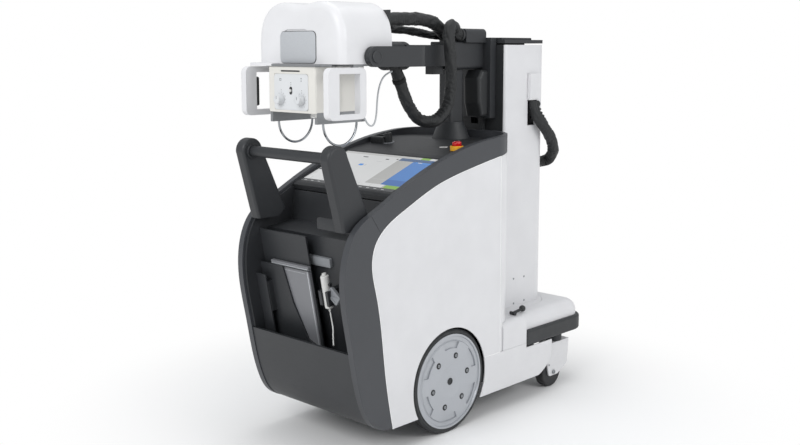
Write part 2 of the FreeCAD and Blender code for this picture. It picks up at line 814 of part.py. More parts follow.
def castor(side, sign):
    """A swivelling fork with its stem, and the wheel on its pin."""
    x, y = "(%s1) * castor_x" % sign, "castor_y"
    wheel_y = "castor_y - castor_trail"
    inner = "castor_width / 2 + 2"
    outer = "castor_width / 2 + 2 + castor_fork_wall"
    body = new_body("castor_cheeks_" + side)
    profile = sketch_on(body, "castor_cheek_" + side, "YZ_Plane", "%s - (%s)" % (x, outer))
    pinned_polygon(profile, (
        (wheel_y + " - 30", "castor_radius - 14"),
        (wheel_y + " + 30", "castor_radius - 14"),
        ("castor_y + 56", "castor_radius + 20"),
        ("castor_y + 66", "castor_top"),
        ("castor_y - 62", "castor_top"),
        ("castor_y - 82", "castor_radius + 38"),
    ))
    pad(body, profile, "2 * (%s)" % outer)
    round_off(body, "13", lambda m, a: along_x(m, a) and m.z < size("castor_top") - 2)
    gap = sketch_on(body, "castor_gap_" + side, "YZ_Plane", "%s - (%s)" % (x, inner))
    rectangle(gap, "castor_y - 140", "0", "castor_y + 90", "castor_radius * 2 + 8")
    pocket(body, gap, "2 * (%s)" % inner, back=True)
    stem = sketch_on(body, "castor_stem_" + side, "XY_Plane", "castor_top")
    pinned_circle(stem, x, y, "castor_stem_radius")
    pad(body, stem, "24")
    bore = sketch_on(body, "castor_bore_" + side + "_pin", "YZ_Plane", "%s - (%s) - 1" % (x, outer))
    pinned_circle(bore, wheel_y, "castor_radius", "castor_pin_radius")
    pocket(body, bore, "2 * (%s) + 2" % outer, back=True)
    half = "castor_width / 2"
    pin = rod("castor_pin_" + side, "x", (x + " - (%s) - 2" % outer, wheel_y, "castor_radius"),
              "2 * (%s) + 4" % outer, "castor_pin_radius")
    node("castor_fork_" + side, group("castor_fork_" + side, body, pin))
    wheel = new_body("castor_wheel_" + side)
    section = sketch_on(wheel, "castor_section_" + side, "YZ_Plane", "%s - %s" % (x, half))
    pinned_circle(section, wheel_y, "castor_radius", "castor_radius")
    pad(wheel, section, "castor_width")
    middle_x = number(x)
    round_off(wheel, "7", lambda m, a: abs(m.x - middle_x) > size("castor_width") / 2 - 0.1)
    hole = sketch_on(wheel, "castor_hole_" + side, "YZ_Plane", "%s - %s - 1" % (x, half))
    pinned_circle(hole, wheel_y, "castor_radius", "castor_pin_radius + 0.05")
    pocket(wheel, hole, "castor_width + 2", back=True)
    node("castor_wheel_" + side, wheel)


# Column


def column():
    """The light column cover on its turntable, with the dark front, the inner frame and the cable hood."""
    front, back = "column_y - column_depth / 2", "column_y + column_depth / 2"
    low = "base_top"
    body = new_body("column_cover")
    item = sketch_on(body, "column_plan", "XY_Plane", low)
    rectangle(item, "-column_half_width", front, "column_half_width", back)
    pad(body, item, "column_top - base_top")
    middle = size("column_y")
    round_off(body, "column_front_radius", lambda m, a: upright(m, a) and m.y < middle)
    round_off(body, "column_rear_radius", lambda m, a: upright(m, a) and m.y > middle + 20)
    hollow = sketch_on(body, "column_hollow", "XY_Plane", "base_top - 1")
    inner, rear = "(column_half_width - 4 * cover_wall)", back + " - 4 * cover_wall"
    start, bevel = front + " + cover_wall * 3", "column_rear_radius * 0.45"
    pinned_polygon(hollow, (
        ("-" + inner, start), (inner, start), (inner, "%s - %s" % (rear, bevel)), (inner + " - " + bevel, rear),
        ("%s - %s" % (bevel, inner), rear), ("-" + inner, "%s - %s" % (rear, bevel)),
    ))
    pocket(body, hollow, "column_top - base_top + 2", back=True)
    mouth = sketch_on(body, "column_mouth", "XY_Plane", "base_top - 1")
    rectangle(mouth, "-column_front_half", front + " - 1", "column_front_half", front + " + cover_wall * 3 + 1")
    pocket(body, mouth, "column_top - base_top + 2", back=True)
    way_out = sketch_on(body, "cable_slot", "YZ_Plane", "column_half_width + 1")
    rectangle(way_out, "column_y + hood_front + cover_wall", "hood_low + 6 - cable_slot_length",
              "column_y + hood_front + hood_width - cover_wall", "hood_low + 6")
    pocket(body, way_out, "cover_wall * 4 + 2")
    disc = sketch_on(body, "turntable_plan", "XY_Plane", "base_top - turntable_thickness")
    pinned_circle(disc, "0", "column_y", "turntable_radius")
    pad(body, disc, "turntable_thickness")
    spigot = sketch_on(body, "turntable_spigot", "XY_Plane", "base_top - turntable_thickness")
    pinned_circle(spigot, "0", "column_y", "60")
    pad(body, spigot, "40", back=True)
    node("column_cover", body)

    plate = new_body("column_front")
    face = sketch_on(plate, "column_front_plan", "XY_Plane", low)
    rectangle(face, "seam - column_front_half", front, "column_front_half - seam", front + " + cover_wall")
    pad(plate, face, "column_top - base_top")
    slot = sketch_on(plate, "column_slot", "XY_Plane", "slot_low")
    rectangle(slot, "-column_slot_half", front + " - 1", "column_slot_half", front + " + cover_wall + 1")
    pocket(plate, slot, "column_top - slot_low + 1", back=True)
    node("column_front", plate)

    frame = new_body("column_frame")
    outline = sketch_on(frame, "column_frame_plan", "XY_Plane", low)
    rectangle(outline, "-(mast_half_width + 14)", front + " + 22", "mast_half_width + 14", back + " - 36")
    pad(frame, outline, "column_top - base_top - 8")
    bore = sketch_on(frame, "column_frame_bore", "XY_Plane", "base_top + 20")
    gap = "running_gap"
    rectangle(bore, "-(mast_half_width + %s)" % gap, front + " + 34", "mast_half_width + %s" % gap, back + " - 48")
    pocket(frame, bore, "column_top - base_top", back=True)
    way = sketch_on(frame, "column_frame_slot", "XY_Plane", "slot_low")
    rectangle(way, "-column_slot_half", front + " + 20", "column_slot_half", front + " + 36")
    pocket(frame, way, "column_top", back=True)
    for turn, ear in enumerate(("-(column_half_width - 4 * cover_wall - seam)", "mast_half_width + 13")):
        reach = "-(mast_half_width + 13)" if turn == 0 else "column_half_width - 4 * cover_wall - seam"
        for step, height in enumerate(("base_top + 60", "column_top - 120")):
            rib = sketch_on(frame, "column_rib_%d_%d" % (turn, step), "XY_Plane", height)
            rectangle(rib, ear, "column_y - 30", reach, "column_y + 30")
            pad(frame, rib, "12")
    node("column_frame", frame)

    hood_back = "column_y + hood_front + hood_width"
    hood = block("hood_block", ("column_half_width + seam", "column_y + hood_front", "hood_low"),
                 ("column_half_width + hood_proud", hood_back, "hood_low + hood_height"))
    inside = block("hood_inside", ("column_half_width", "column_y + hood_front + cover_wall", "hood_low - 8"),
                   ("column_half_width + hood_proud - cover_wall", hood_back + " - cover_wall",
                    "hood_low + hood_height - cover_wall"))
    node("cable_hood", cut("cable_hood", hood, inside))


def mast():
    """The inner mast that rises out of the column, with its stepped cap."""
    front = "column_y - column_depth / 2 + 34 + running_gap"
    back = "column_y + column_depth / 2 - 48 - running_gap"
    body = new_body("mast")
    item = sketch_on(body, "mast_plan", "XY_Plane", "column_top + 6 - mast_length")
    rectangle(item, "-mast_half_width", front, "mast_half_width", back)
    pad(body, item, "mast_length")
    hollow = sketch_on(body, "mast_hollow", "XY_Plane", "column_top + 5 - mast_length")
    rectangle(hollow, "mast_wall - mast_half_width", front + " + mast_wall", "mast_half_width - mast_wall",
              back + " - mast_wall")
    pocket(body, hollow, "mast_length + 2", back=True)
    cap = sketch_on(body, "mast_cap_plan", "XY_Plane", "column_top + 6")
    rectangle(cap, "-column_front_half", "column_y - column_depth / 2 + 6", "column_front_half",
              "column_y + column_depth / 2 - 20")
    pad(body, cap, "cap_thickness - 8")
    top = sketch_on(body, "mast_cap_step", "XY_Plane", "column_top + cap_thickness - 2")
    rectangle(top, "-(column_front_half - 14)", "column_y - column_depth / 2 + 6", "column_front_half - 14",
              "column_y + 60")
    pad(body, top, "8")
    high = size("column_top") + size("cap_thickness")
    round_off(body, "3", lambda m, a: m.z > high + 5.9 and m.y > number("column_y - column_depth / 2 + 7"))
    node("mast", body)


def carriage():
    """The dark block on the column's front, joined to the mast through the slot, with the cable guide below."""
    front = "column_y - column_depth / 2"
    block_top = "column_top + cap_thickness + 6"
    plate = block("carriage_plate", ("-carriage_half_width", "carriage_front_y", "carriage_low"),
                  ("carriage_half_width", front + " - 1", block_top))
    neck = block("carriage_neck", ("-(column_slot_half - 4)", front + " - 2", "carriage_low + 20"),
                 ("column_slot_half - 4", front + " + 34 + running_gap", "column_top - 4"))
    node("carriage", fuse("carriage", plate, neck))
    guide = new_body("cable_guide")
    item = sketch_on(guide, "guide_side", "YZ_Plane", "-guide_left")
    rear = "carriage_front_y"
    pinned_polygon(item, (
        (rear, "carriage_low + 6"), (rear, "arm_height - arm_half_height - 4"),
        (rear + " - 30", "arm_height - arm_half_height - 4"), (rear + " - 54", "arm_height - arm_half_height - 34"),
        (rear + " - 50", "carriage_low + 60"), (rear + " - 34", "carriage_low + 6"),
    ))
    pad(guide, item, "guide_left + guide_right")
    round_off(guide, "14", lambda m, a: m.y < number(rear) - 2 and not along_x(m, a))
    chain = sketch_on(guide, "chain_side", "YZ_Plane", "guide_left + 16")
    rectangle(chain, rear + " + 15", "carriage_low - 68", rear + " + 34", "carriage_low")
    pad(guide, chain, "22")
    return node("cable_guide", guide)


def arm():
    """Three telescopic box sections, the widest on the carriage."""
    height, up = "arm_height", "arm_half_height"
    wide, wall, gap = "arm_half_width", "arm_wall", "running_gap"
    back = "carriage_front_y"
    outer = new_body("arm_outer")
    item = sketch_on(outer, "arm_section", "XZ_Plane", "-(%s)" % back)
    rectangle(item, "-" + wide, "%s - %s" % (height, up), wide, "%s + %s" % (height, up))
    pad(outer, item, "%s - arm_front_y" % back)
    low = number("arm_height - arm_half_height")
    round_off(outer, "16", lambda m, a: along_y(m, a) and m.z < low + 1)
    round_off(outer, "7", lambda m, a: along_y(m, a) and m.z > low + 80)
    bore = sketch_on(outer, "arm_bore", "XZ_Plane", "-(%s - 1)" % back)
    rectangle(bore, "wall_a - arm_half_width".replace("wall_a", wall), "%s - %s + %s" % (height, up, wall),
              "%s - %s" % (wide, wall), "%s + %s - %s" % (height, up, wall))
    pocket(outer, bore, "%s - arm_front_y + 2" % back, back=True)
    boot = sketch_on(outer, "cable_boot", "XZ_Plane", "-(%s)" % back)
    rectangle(boot, "-boot_left", "%s + %s - 3" % (height, up), "boot_right", "%s + %s + boot_rise" % (height, up))
    pad(outer, boot, "%s - boot_front_y" % back)
    crown = number("arm_height + arm_half_height + boot_rise")
    round_off(outer, "18", lambda m, a: along_y(m, a) and m.z > crown - 1)
    node("arm_outer", outer)

    mid = new_body("arm_middle")
    shrink = "(%s + %s)" % (wall, gap)
    item = sketch_on(mid, "middle_section", "XZ_Plane", "-(%s - 8)" % back)
    rectangle(item, "%s - %s" % (shrink, wide), "%s - %s + %s" % (height, up, shrink),
              "%s - %s" % (wide, shrink), "%s + %s - %s" % (height, up, shrink))
    pad(mid, item, "%s - arm_front_y - 2" % back)
    bore = sketch_on(mid, "middle_bore", "XZ_Plane", "-(%s - 7)" % back)
    inner = "(2 * %s + %s)" % (wall, gap)
    rectangle(bore, "%s - %s" % (inner, wide), "%s - %s + %s" % (height, up, inner),
              "%s - %s" % (wide, inner), "%s + %s - %s" % (height, up, inner))
    pocket(mid, bore, "%s - arm_front_y + 2" % back, back=True)
    node("arm_middle", mid)

    last = new_body("arm_inner")
    shrink = "(2 * %s + 2 * %s)" % (wall, gap)
    start = "yoke_back_y + hub_length"
    item = sketch_on(last, "inner_section", "XZ_Plane", "-(%s - 14)" % back)
    rectangle(item, "%s - %s" % (shrink, wide), "%s - %s + %s" % (height, up, shrink),
              "%s - %s" % (wide, shrink), "%s + %s - %s" % (height, up, shrink))
    pad(last, item, "%s - 14 - (%s) - running_gap" % (back, start))
    flange = sketch_on(last, "inner_flange", "XZ_Plane", "-(%s + 26)" % start)
    pinned_circle(flange, "0", height, "hub_radius")
    pad(last, flange, "26 - running_gap")
    catch = sketch_on(last, "arm_catch", "XZ_Plane", "-(arm_front_y - 12)")
    rectangle(catch, "-20", "%s - %s - 18" % (height, up), "20", "%s - %s + 14" % (height, up))
    pad(last, catch, "55")
    node("arm_inner", last)


def fork():
    """The U-shaped yoke that carries the tube head between its two cheeks."""
    outer = size("fork_inner_half") + size("fork_plate")
    inner, back = size("fork_inner_half"), size("yoke_back_y")
    bend, plate = size("fork_corner"), size("fork_plate") + 8
    pivot, high = size("pivot_y"), size("fork_half_height")
    z = size("arm_height")
    tip = pivot - high
    lean, small = bend * math.sqrt(0.5), (bend - plate + 4) * math.sqrt(0.5)
    bend_in = bend - plate + 4

    def p(x, y):
        return V(x, y, z - high)

    edges = [
        Part.makeLine(p(inner, tip), p(outer, tip)),
        Part.makeLine(p(outer, tip), p(outer, back - bend)),
        Part.Arc(p(outer, back - bend), p(outer - bend + lean, back - bend + lean), p(outer - bend, back)).toShape(),
        Part.makeLine(p(outer - bend, back), p(-outer + bend, back)),
        Part.Arc(p(-outer + bend, back), p(-outer + bend - lean, back - bend + lean), p(-outer, back - bend)).toShape(),
        Part.makeLine(p(-outer, back - bend), p(-outer, tip)),
        Part.makeLine(p(-outer, tip), p(-inner, tip)),
        Part.makeLine(p(-inner, tip), p(-inner, back - plate - bend_in)),
        Part.Arc(p(-inner, back - plate - bend_in),
                 p(-inner + bend_in - small, back - plate - bend_in + small),
                 p(-inner + bend_in, back - plate)).toShape(),
        Part.makeLine(p(-inner + bend_in, back - plate), p(inner - bend_in, back - plate)),
        Part.Arc(p(inner - bend_in, back - plate),
                 p(inner - bend_in + small, back - plate - bend_in + small),
                 p(inner, back - plate - bend_in)).toShape(),
        Part.makeLine(p(inner, back - plate - bend_in), p(inner, tip)),
    ]
    solid = Part.Face(Part.Wire(edges)).extrude(V(0, 0, 2 * high))
    # The cheeks' tips are round about the pivot
    profile = Part.makeBox(800, back + 30 - pivot, 2 * high, V(-400, pivot, z - high))
    profile = profile.fuse(Part.makeCylinder(high, 800, V(-400, pivot, z), V(1, 0, 0)))
    solid = solid.common(profile)
    hub = Part.makeCylinder(size("hub_radius"), size("hub_length"), V(0, back - 1, z), V(0, 1, 0))
    solid = solid.fuse(hub)
    bore = Part.makeCylinder(size("pivot_radius") + 0.05, 800, V(-400, pivot, z), V(1, 0, 0))
    return node("fork", computed("fork", solid.cut(bore).removeSplitter()))


# Tube head


def head_profile():
    """The housing seen from the front: two domed lobes with a shallow saddle between them."""
    half, low, shoulder = size("head_half_width"), size("head_low"), size("head_shoulder")
    top, dip = size("head_top"), size("head_saddle")
    y = size("head_front_y")
    rise = (
        (half, shoulder), (half - 3, shoulder + 35), (half - 17, shoulder + 80), (half - 55, top - 17),
        (half * 0.44, top), (half * 0.2, top - dip * 0.6),
    )
    crown = [V(x, y, z) for x, z in rise] + [V(0, y, top - dip)]
    crown += [V(-x, y, z) for x, z in reversed(rise)]
    curve = Part.BSplineCurve()
    curve.interpolate(crown)
    edges = [
        curve.toShape(),
        Part.makeLine(crown[-1], V(-half, y, low)),
        Part.makeLine(V(-half, y, low), V(half, y, low)),
        Part.makeLine(V(half, y, low), crown[0]),
    ]
    return Part.Face(Part.Wire(edges))


def head_housing():
    """The moulded housing, bored for the tube, with the bare badge recess in front."""
    depth = size("head_rear_y") - size("head_front_y")
    solid = head_profile().extrude(V(0, depth, 0))
    front = [e for e in solid.Edges if e.BoundBox.YMax < size("head_front_y") + 0.01
             and e.CenterOfMass.z > size("head_low") + 1]
    solid = solid.makeFillet(size("head_round"), front)
    axis = V(1, 0, 0)
    tube = Part.makeCylinder(size("tube_radius") + 0.5, 2 * size("head_half_width") - 60,
                             V(-size("head_half_width") + 30, size("pivot_y") + 0, size("arm_height") + 60), axis)
    badge = Part.makeBox(116, 6, 102, V(-70, size("head_front_y") - 3, size("head_low") + 12))
    badge = badge.makeFillet(14, [e for e in badge.Edges if abs(e.tangentAt(0).y) > 0.9])
    stubs = []
    for sign in (1, -1):
        start = V(sign * (size("head_half_width") - 6), size("pivot_y"), size("arm_height"))
        reach = size("fork_inner_half") + size("fork_plate") - size("head_half_width") + 8
        stubs.append(Part.makeCylinder(size("pivot_radius"), reach, start, V(sign, 0, 0)))
    solid = solid.cut(tube).cut(badge)
    for stub in stubs:
        solid = solid.fuse(stub)
    return solid.removeSplitter()


def head_grip(side, sign):
    """A hand grip loop beside the collimator."""
    body = new_body("grip_" + side)
    low = "grip_outer_half - grip_thickness" if sign > 0 else "-grip_outer_half"
    item = sketch_on(body, "grip_outline_" + side, "YZ_Plane", low)
    top = "head_low - head_plate_thickness - 2 * seam - 1"
    rectangle(item, "grip_front_y", "grip_low", "grip_rear_y", top)
    pad(body, item, "grip_thickness")
    round_off(body, "22", along_x)
    window = sketch_on(body, "grip_window_" + side, "YZ_Plane", low + " - 1")
    rectangle(window, "grip_front_y + 46", "grip_low + 19", "grip_rear_y - 28", top + " - 20")
    pocket(body, window, "grip_thickness + 2", back=True)
    return body


def tube_head():
    node("head_housing", computed("head_housing", head_housing()))
    rear = block("rear_cover_plate", ("-(head_half_width - 14)", "head_rear_y", "head_low + 4"),
                 ("head_half_width - 14", "head_rear_y + 8", "head_top - 26"))
    glands = []
    for name, route, radius in (("upper", UPPER_ROUTE, "sleeve_radius + 4"), ("lower", LOWER_ROUTE, "sleeve_radius + 2"),
                                ("far", FAR_ROUTE, "slim_sleeve_radius + 4")):
        across_head, _, up = route[0]
        glands.append(rod("gland_" + name, "y", (str(across_head).replace("-", "0 - "), "head_rear_y + 7", str(up)),
                          "8", radius))
    node("head_rear_cover", fuse("head_rear_cover", rear, *glands))
    low = "head_low - head_plate_thickness"
    plate = block("mount_plate", ("-(collimator_half_width + 6)", "collimator_front_y - 4", low),
                  ("collimator_half_width + 6", "head_rear_y", "head_low"))
    wings = block("mount_wings", ("-(head_half_width - 1)", "grip_rear_y - 46", low),
                  ("head_half_width - 1", "grip_rear_y", "head_low"))
    hung = []
    for side, sign in (("right", 1), ("left", -1)):
        start = "grip_outer_half - grip_thickness" if sign > 0 else "1 - head_half_width"
        end = "head_half_width - 1" if sign > 0 else "grip_thickness - grip_outer_half"
        hung.append(block("grip_hanger_" + side, (start, "grip_rear_y - 46", low + " - 2 * seam - 1"),
                          (end, "grip_rear_y - 24", low)))
    bore = rod("collimator_bore", "z", ("0", "collimator_turn_y", low + " - 1"), "head_plate_thickness + 3", "45")
    base = cut("head_plate_bored", fuse("head_plate_blank", plate, wings, *hung), bore)
    node("head_plate", base)
    node("head_grips", group("head_grips", head_grip("right", 1), head_grip("left", -1)))
    node("xray_tube", rod("xray_tube", "x", ("-(head_half_width - 31)", "pivot_y", "arm_height + 60"),
                          "2 * head_half_width - 62", "tube_radius"))


def collimator():
    """The collimator box with its front panel, knobs, lamp button, rails and wire loops."""
    top = "head_low - head_plate_thickness - seam"
    front, back = "collimator_front_y", "collimator_front_y + collimator_depth"
    half = "collimator_half_width"
    body = new_body("collimator_housing")
    item = sketch_on(body, "collimator_plan", "XY_Plane", "collimator_low")
    rectangle(item, "-" + half, front, half, back)
    pad(body, item, "%s - collimator_low" % top)
    round_off(body, "9", upright)
    recess = sketch_on(body, "panel_recess", "XZ_Plane", "-(%s + panel_thickness - 1)" % front)
    rectangle(recess, "-panel_half", "collimator_low + panel_rise", "panel_half", "panel_top")
    pocket(body, recess, "20", back=True)
    slot = sketch_on(body, "card_slot", "XZ_Plane", "-(%s + 14)" % front)
    rectangle(slot, "-card_slot_left", "card_slot_low", "card_slot_right", "card_slot_low + card_slot_opening")
    pocket(body, slot, "20", back=True)
    for side, sign in (("right", ""), ("left", "-")):
        hole = sketch_on(body, "shaft_hole_" + side, "XZ_Plane", "-(%s + 16)" % front)
        pinned_circle(hole, sign + "knob_spacing / 2 + knob_offset", "knob_height", "knob_shaft_radius + 0.05")
        pocket(body, hole, "20", back=True)
    button_hole = sketch_on(body, "button_hole", "XZ_Plane", "-(%s + 18)" % front)
    pinned_circle(button_hole, "0", "knob_height + button_rise", "button_radius + 0.05")
    pocket(body, button_hole, "20", back=True)
    for side, sign in (("right", ""), ("left", "-")):
        notch = sketch_on(body, "rail_notch_" + side, "XY_Plane", "collimator_low")
        low_x, high_x = (half + " - rail_width", half + " + 1") if not sign else ("-1 - " + half, "rail_width - " + half)
        rectangle(notch, low_x, front + " + 8", high_x, back + " - 2")
        pocket(body, notch, "rail_notch_depth", back=True)
    neck = sketch_on(body, "collimator_neck", "XY_Plane", top)
    pinned_circle(neck, "0", "collimator_turn_y", "44")
    pad(body, neck, "head_plate_thickness + seam - 0.5")
    node("collimator_housing", body)

    panel = new_body("collimator_panel")
    item = sketch_on(panel, "panel_outline", "XZ_Plane", "-(%s + panel_thickness - 1)" % front)
    rectangle(item, "0.3 - panel_half", "collimator_low + panel_rise + 0.3", "panel_half - 0.3", "panel_top - 0.3")
    pad(panel, item, "panel_thickness")
    round_off(panel, "12", along_y)
    for side, sign in (("right", ""), ("left", "-")):
        hole = sketch_on(panel, "panel_hole_" + side, "XZ_Plane", "-(%s + 10)" % front)
        pinned_circle(hole, sign + "knob_spacing / 2 + knob_offset", "knob_height", "knob_shaft_radius + 0.1")
        pocket(panel, hole, "20", back=True)
    hole = sketch_on(panel, "panel_hole_button", "XZ_Plane", "-(%s + 10)" % front)
    pinned_circle(hole, "0", "knob_height + button_rise", "button_radius + 0.1")
    pocket(panel, hole, "20", back=True)
    node("collimator_panel", panel)

    for side, sign in (("right", ""), ("left", "-")):
        x = sign + "knob_spacing / 2 + knob_offset"
        shaft = rod("knob_shaft_" + side, "y", (x, front + " - 3", "knob_height"), "18", "knob_shaft_radius")
        head = rod("knob_head_" + side, "y", (x, front + " - 2.6 - knob_length", "knob_height"),
                   "knob_length", "knob_radius - 2", top="knob_radius")
        node("collimator_knob_" + side, fuse("collimator_knob_" + side, head, shaft))
    stem = rod("lamp_button_stem", "y", ("0", front + " - 6", "knob_height + button_rise"), "20", "button_radius")
    node("lamp_button", stem)

    rails, loops = [], []
    for side, sign in (("right", 1), ("left", -1)):
        low_x = half + " - rail_width" if sign > 0 else "-" + half
        high_x = half if sign > 0 else "rail_width - " + half
        rails.append(block("rail_" + side, (low_x, front + " + 8", "collimator_low - rail_height"),
                           (high_x, back + " - 2", "collimator_low + rail_notch_depth")))
        loops.append(wire_loop(sign))
    node("accessory_rails", group("accessory_rails", *rails))
    node("wire_loops", computed("wire_loops", Part.makeCompound(loops)))


def wire_loop(sign):
    """One bent wire guard under a rail."""
    x = sign * (size("collimator_half_width") - size("rail_width") / 2)
    y, z = size("collimator_turn_y"), size("collimator_low") - size("rail_height")
    radius, wire = size("loop_radius"), size("loop_wire")
    ring = Part.makeTorus(radius, wire, V(x, y, z), V(1, 0, 0))
    return ring.common(Part.makeBox(40, 400, 200, V(x - 20, y - 200, z - 200)))


# Handle, bin and console


def handle():
    """Two padded paddles that lean towards the operator, joined by a round bar."""
    solids = []
    half, thick = size("handle_outer_half"), size("handle_thickness")
    y, z, radius = size("handle_bar_y"), size("handle_bar_height"), size("handle_head_radius")
    foot_front, foot_z = -size("handle_foot_forward"), size("handle_foot_height")
    foot_rear = foot_front + size("handle_foot_depth")
    front_lean = math.atan2(z - foot_z, foot_front - y)
    rear_lean = math.atan2(z - foot_z, foot_rear - y - radius)
    start = V(0, y - radius * math.sin(front_lean), z - radius * abs(math.cos(front_lean)) * 0.4)
    end = V(0, y + radius * math.sin(rear_lean), z + radius * math.cos(rear_lean) * 0.6)
    edges = [
        Part.Arc(start, V(0, y, z + radius), end).toShape(),
        Part.makeLine(end, V(0, foot_rear, foot_z + 30)),
        Part.makeLine(V(0, foot_rear, foot_z + 30), V(0, foot_rear - 30, foot_z)),
        Part.makeLine(V(0, foot_rear - 30, foot_z), V(0, foot_front, foot_z)),
        Part.makeLine(V(0, foot_front, foot_z), start),
    ]
    face = Part.Face(Part.Wire(edges))
    for sign in (1, -1):
        low = half - thick if sign > 0 else -half
        solid = across(face, low, low + thick)
        rim = [e for e in solid.Edges if abs(e.BoundBox.XLength) < 0.01 and e.CenterOfMass.z > foot_z + 40]
        solids.append(solid.makeFillet(10, rim))
    node("handle_paddles", computed("handle_paddles", Part.makeCompound(solids)))
    reach = "handle_outer_half - handle_thickness - seam / 2"
    bar = rod("handle_bar", "x", ("-(%s)" % reach, "handle_bar_y", "handle_bar_height"),
              "2 * (%s)" % reach, "handle_bar_radius")
    node("handle_bar", bar)


def lean_box(left, right, forward, thickness, low, high):
    """A plate parallel to the leaning bin wall; heights are measured along the lean."""
    lean = math.radians(size("bin_lean"))
    solid = Part.makeBox(right - left, thickness, high - low, V(left, 0, low))
    solid.rotate(V(0, 0, 0), V(1, 0, 0), math.degrees(lean))
    solid.translate(V(0, -forward, size("detector_foot_height")))
    return solid


def bin_tray():
    """The dark pocket for detectors: a trough, a leaning back wall, a shelf and two side walls."""
    wall, gap = size("bin_wall"), size("seam")
    lip_z, floor_z = size("bin_lip_height"), size("bin_floor_height")
    lean = math.tan(math.radians(size("bin_lean")))
    shelf_z = size("bin_shelf_height")
    back_top = -size("bin_floor_rear") - lean * (shelf_z - floor_z)
    console_front = size("console_front_forward")
    line = [
        V(0, -size("bin_lip_forward"), lip_z),
        V(0, -size("bin_floor_front"), floor_z),
        V(0, -size("bin_floor_rear"), floor_z),
        V(0, back_top, shelf_z),
        V(0, -size("bin_shelf_rear"), shelf_z + 16),
        V(0, -console_front - 14, size("console_front_height") - 32),
    ]
    face = Part.makePolygon(line).makeOffset2D(wall, join=2, fill=True, openResult=True)
    half = size("body_half_width") - size("band_width") - gap
    solid = across(face, -half, half)
    inset = 9.0
    side = side_face([outline_curve(inset)] + lines((
        (size("body_rear_y") + 20, size("deck_edge_height") + size("deck_rear_rise") - inset),
        (size("body_rear_y") + 20, 60),
        (-size("toe_forward") + inset, size("skirt_height") + inset * 0.4),
    )))
    trim = Part.Face(Part.makePolygon([V(0, -900, floor_z - wall), V(0, -console_front - 12, floor_z - wall),
                                       V(0, -console_front - 12, size("console_front_height") - 22),
                                       V(0, -900, size("console_front_height") - 22),
                                       V(0, -900, floor_z - wall)]))
    cheek = side.common(trim)
    for low in (size("bin_side_half"), -half):
        solid = solid.fuse(across(cheek, low, low + half - size("bin_side_half")))
    cover = across(body_side(), -half - 1, half + 1)
    cover.translate(V(0, 3.0 + size("cover_wall") + 2.6, 0))
    lip = Part.makeBox(2 * half + 4, 900, 200, V(-half - 2, -1000, floor_z - 60))
    lip = lip.cut(cover)
    keep_low = Part.makeBox(2 * half + 4, 900, lip_z + 1 - floor_z + 60, V(-half - 2, -1000, floor_z - 60))
    solid = solid.cut(lip.common(keep_low))
    return node("bin_tray", computed("bin_tray", solid.removeSplitter()))


def bin_guides():
    """The stepped plates that stand in the trough and hold the detector."""
    left, width = -size("detector_left"), size("detector_width")
    thick, plate = size("detector_thickness"), size("guide_wall")
    foot = size("detector_foot_forward")
    side = size("bin_side_half") - size("seam")
    rear = lean_box(-side, left + width - 6, foot - thick - 1, plate, 4, 452)
    front = lean_box(-side, left + width + 24, foot + 1 + plate, plate, 2, 330)
    window = Part.makePolygon([V(left + 70, -50, 330 + 1), V(left + 96, -50, 196), V(left + 148, -50, 66),
                               V(left + width + 12, -50, 40), V(left + width + 30, -50, 331),
                               V(left + 70, -50, 331)])
    hole = Part.Face(window).extrude(V(0, 200, 0))
    hole.rotate(V(0, 0, 0), V(1, 0, 0), size("bin_lean"))
    hole.translate(V(0, -foot, size("detector_foot_height")))
    front = front.cut(hole)
    step = lean_box(-side, left - 2, foot + 34, plate, 60, 290)
    spacer = lean_box(-side, left - 1.0, foot + 34 - plate, 34 - plate - 1 - plate, 150, 262)
    cheek = lean_box(-side, left - 0.6, foot + 1 - 0.0, thick + 1.6, 30, 300)
    holder = front.fuse(cheek).fuse(spacer).fuse(step)
    parts = [rear, holder.removeSplitter(), switch_cradle()]
    return node("bin_guides", computed("bin_guides", Part.makeCompound(parts)))


def detector():
    """The flat detector, standing in its slot."""
    left = -size("detector_left")
    solid = lean_box(left, left + size("detector_width"), size("detector_foot_forward"),
                     size("detector_thickness"), 3, 3 + size("detector_length"))
    solid = solid.makeFillet(3, [e for e in solid.Edges])
    return node("detector", computed("detector", solid))


def leaning(shape, x, forward, height):
    """Lean an upright shape, made at the origin, like the bin wall and put it in place."""
    shape.rotate(V(0, 0, 0), V(1, 0, 0), size("bin_lean"))
    shape.translate(V(x, -forward, height))
    return shape


def hand_switch():
    """The hand switch, its button, its cradle and its cord."""
    x, forward, height = size("switch_x"), size("switch_forward"), size("switch_height")
    radius, length = size("switch_radius"), size("switch_length")
    grip = Part.makeCylinder(radius, length, V(0, 0, 0))
    grip = grip.makeFillet(5, [e for e in grip.Edges if e.BoundBox.ZLength < 0.01])
    bore = Part.makeCylinder(8.1, 12, V(0, 0, length - 10))
    socket = Part.makeCylinder(size("switch_cord_radius") + 2, 12, V(0, 0, -12))
    grip = grip.cut(bore).fuse(socket)
    node("hand_switch", computed("hand_switch", leaning(grip, x, forward, height)))
    button = Part.makeCylinder(8, 14, V(0, 0, length - 6))
    button = button.makeFillet(2, [e for e in button.Edges if e.BoundBox.ZLength < 0.01 and e.CenterOfMass.z > length])
    node("hand_switch_button", computed("hand_switch_button", leaning(button, x, forward, height)))


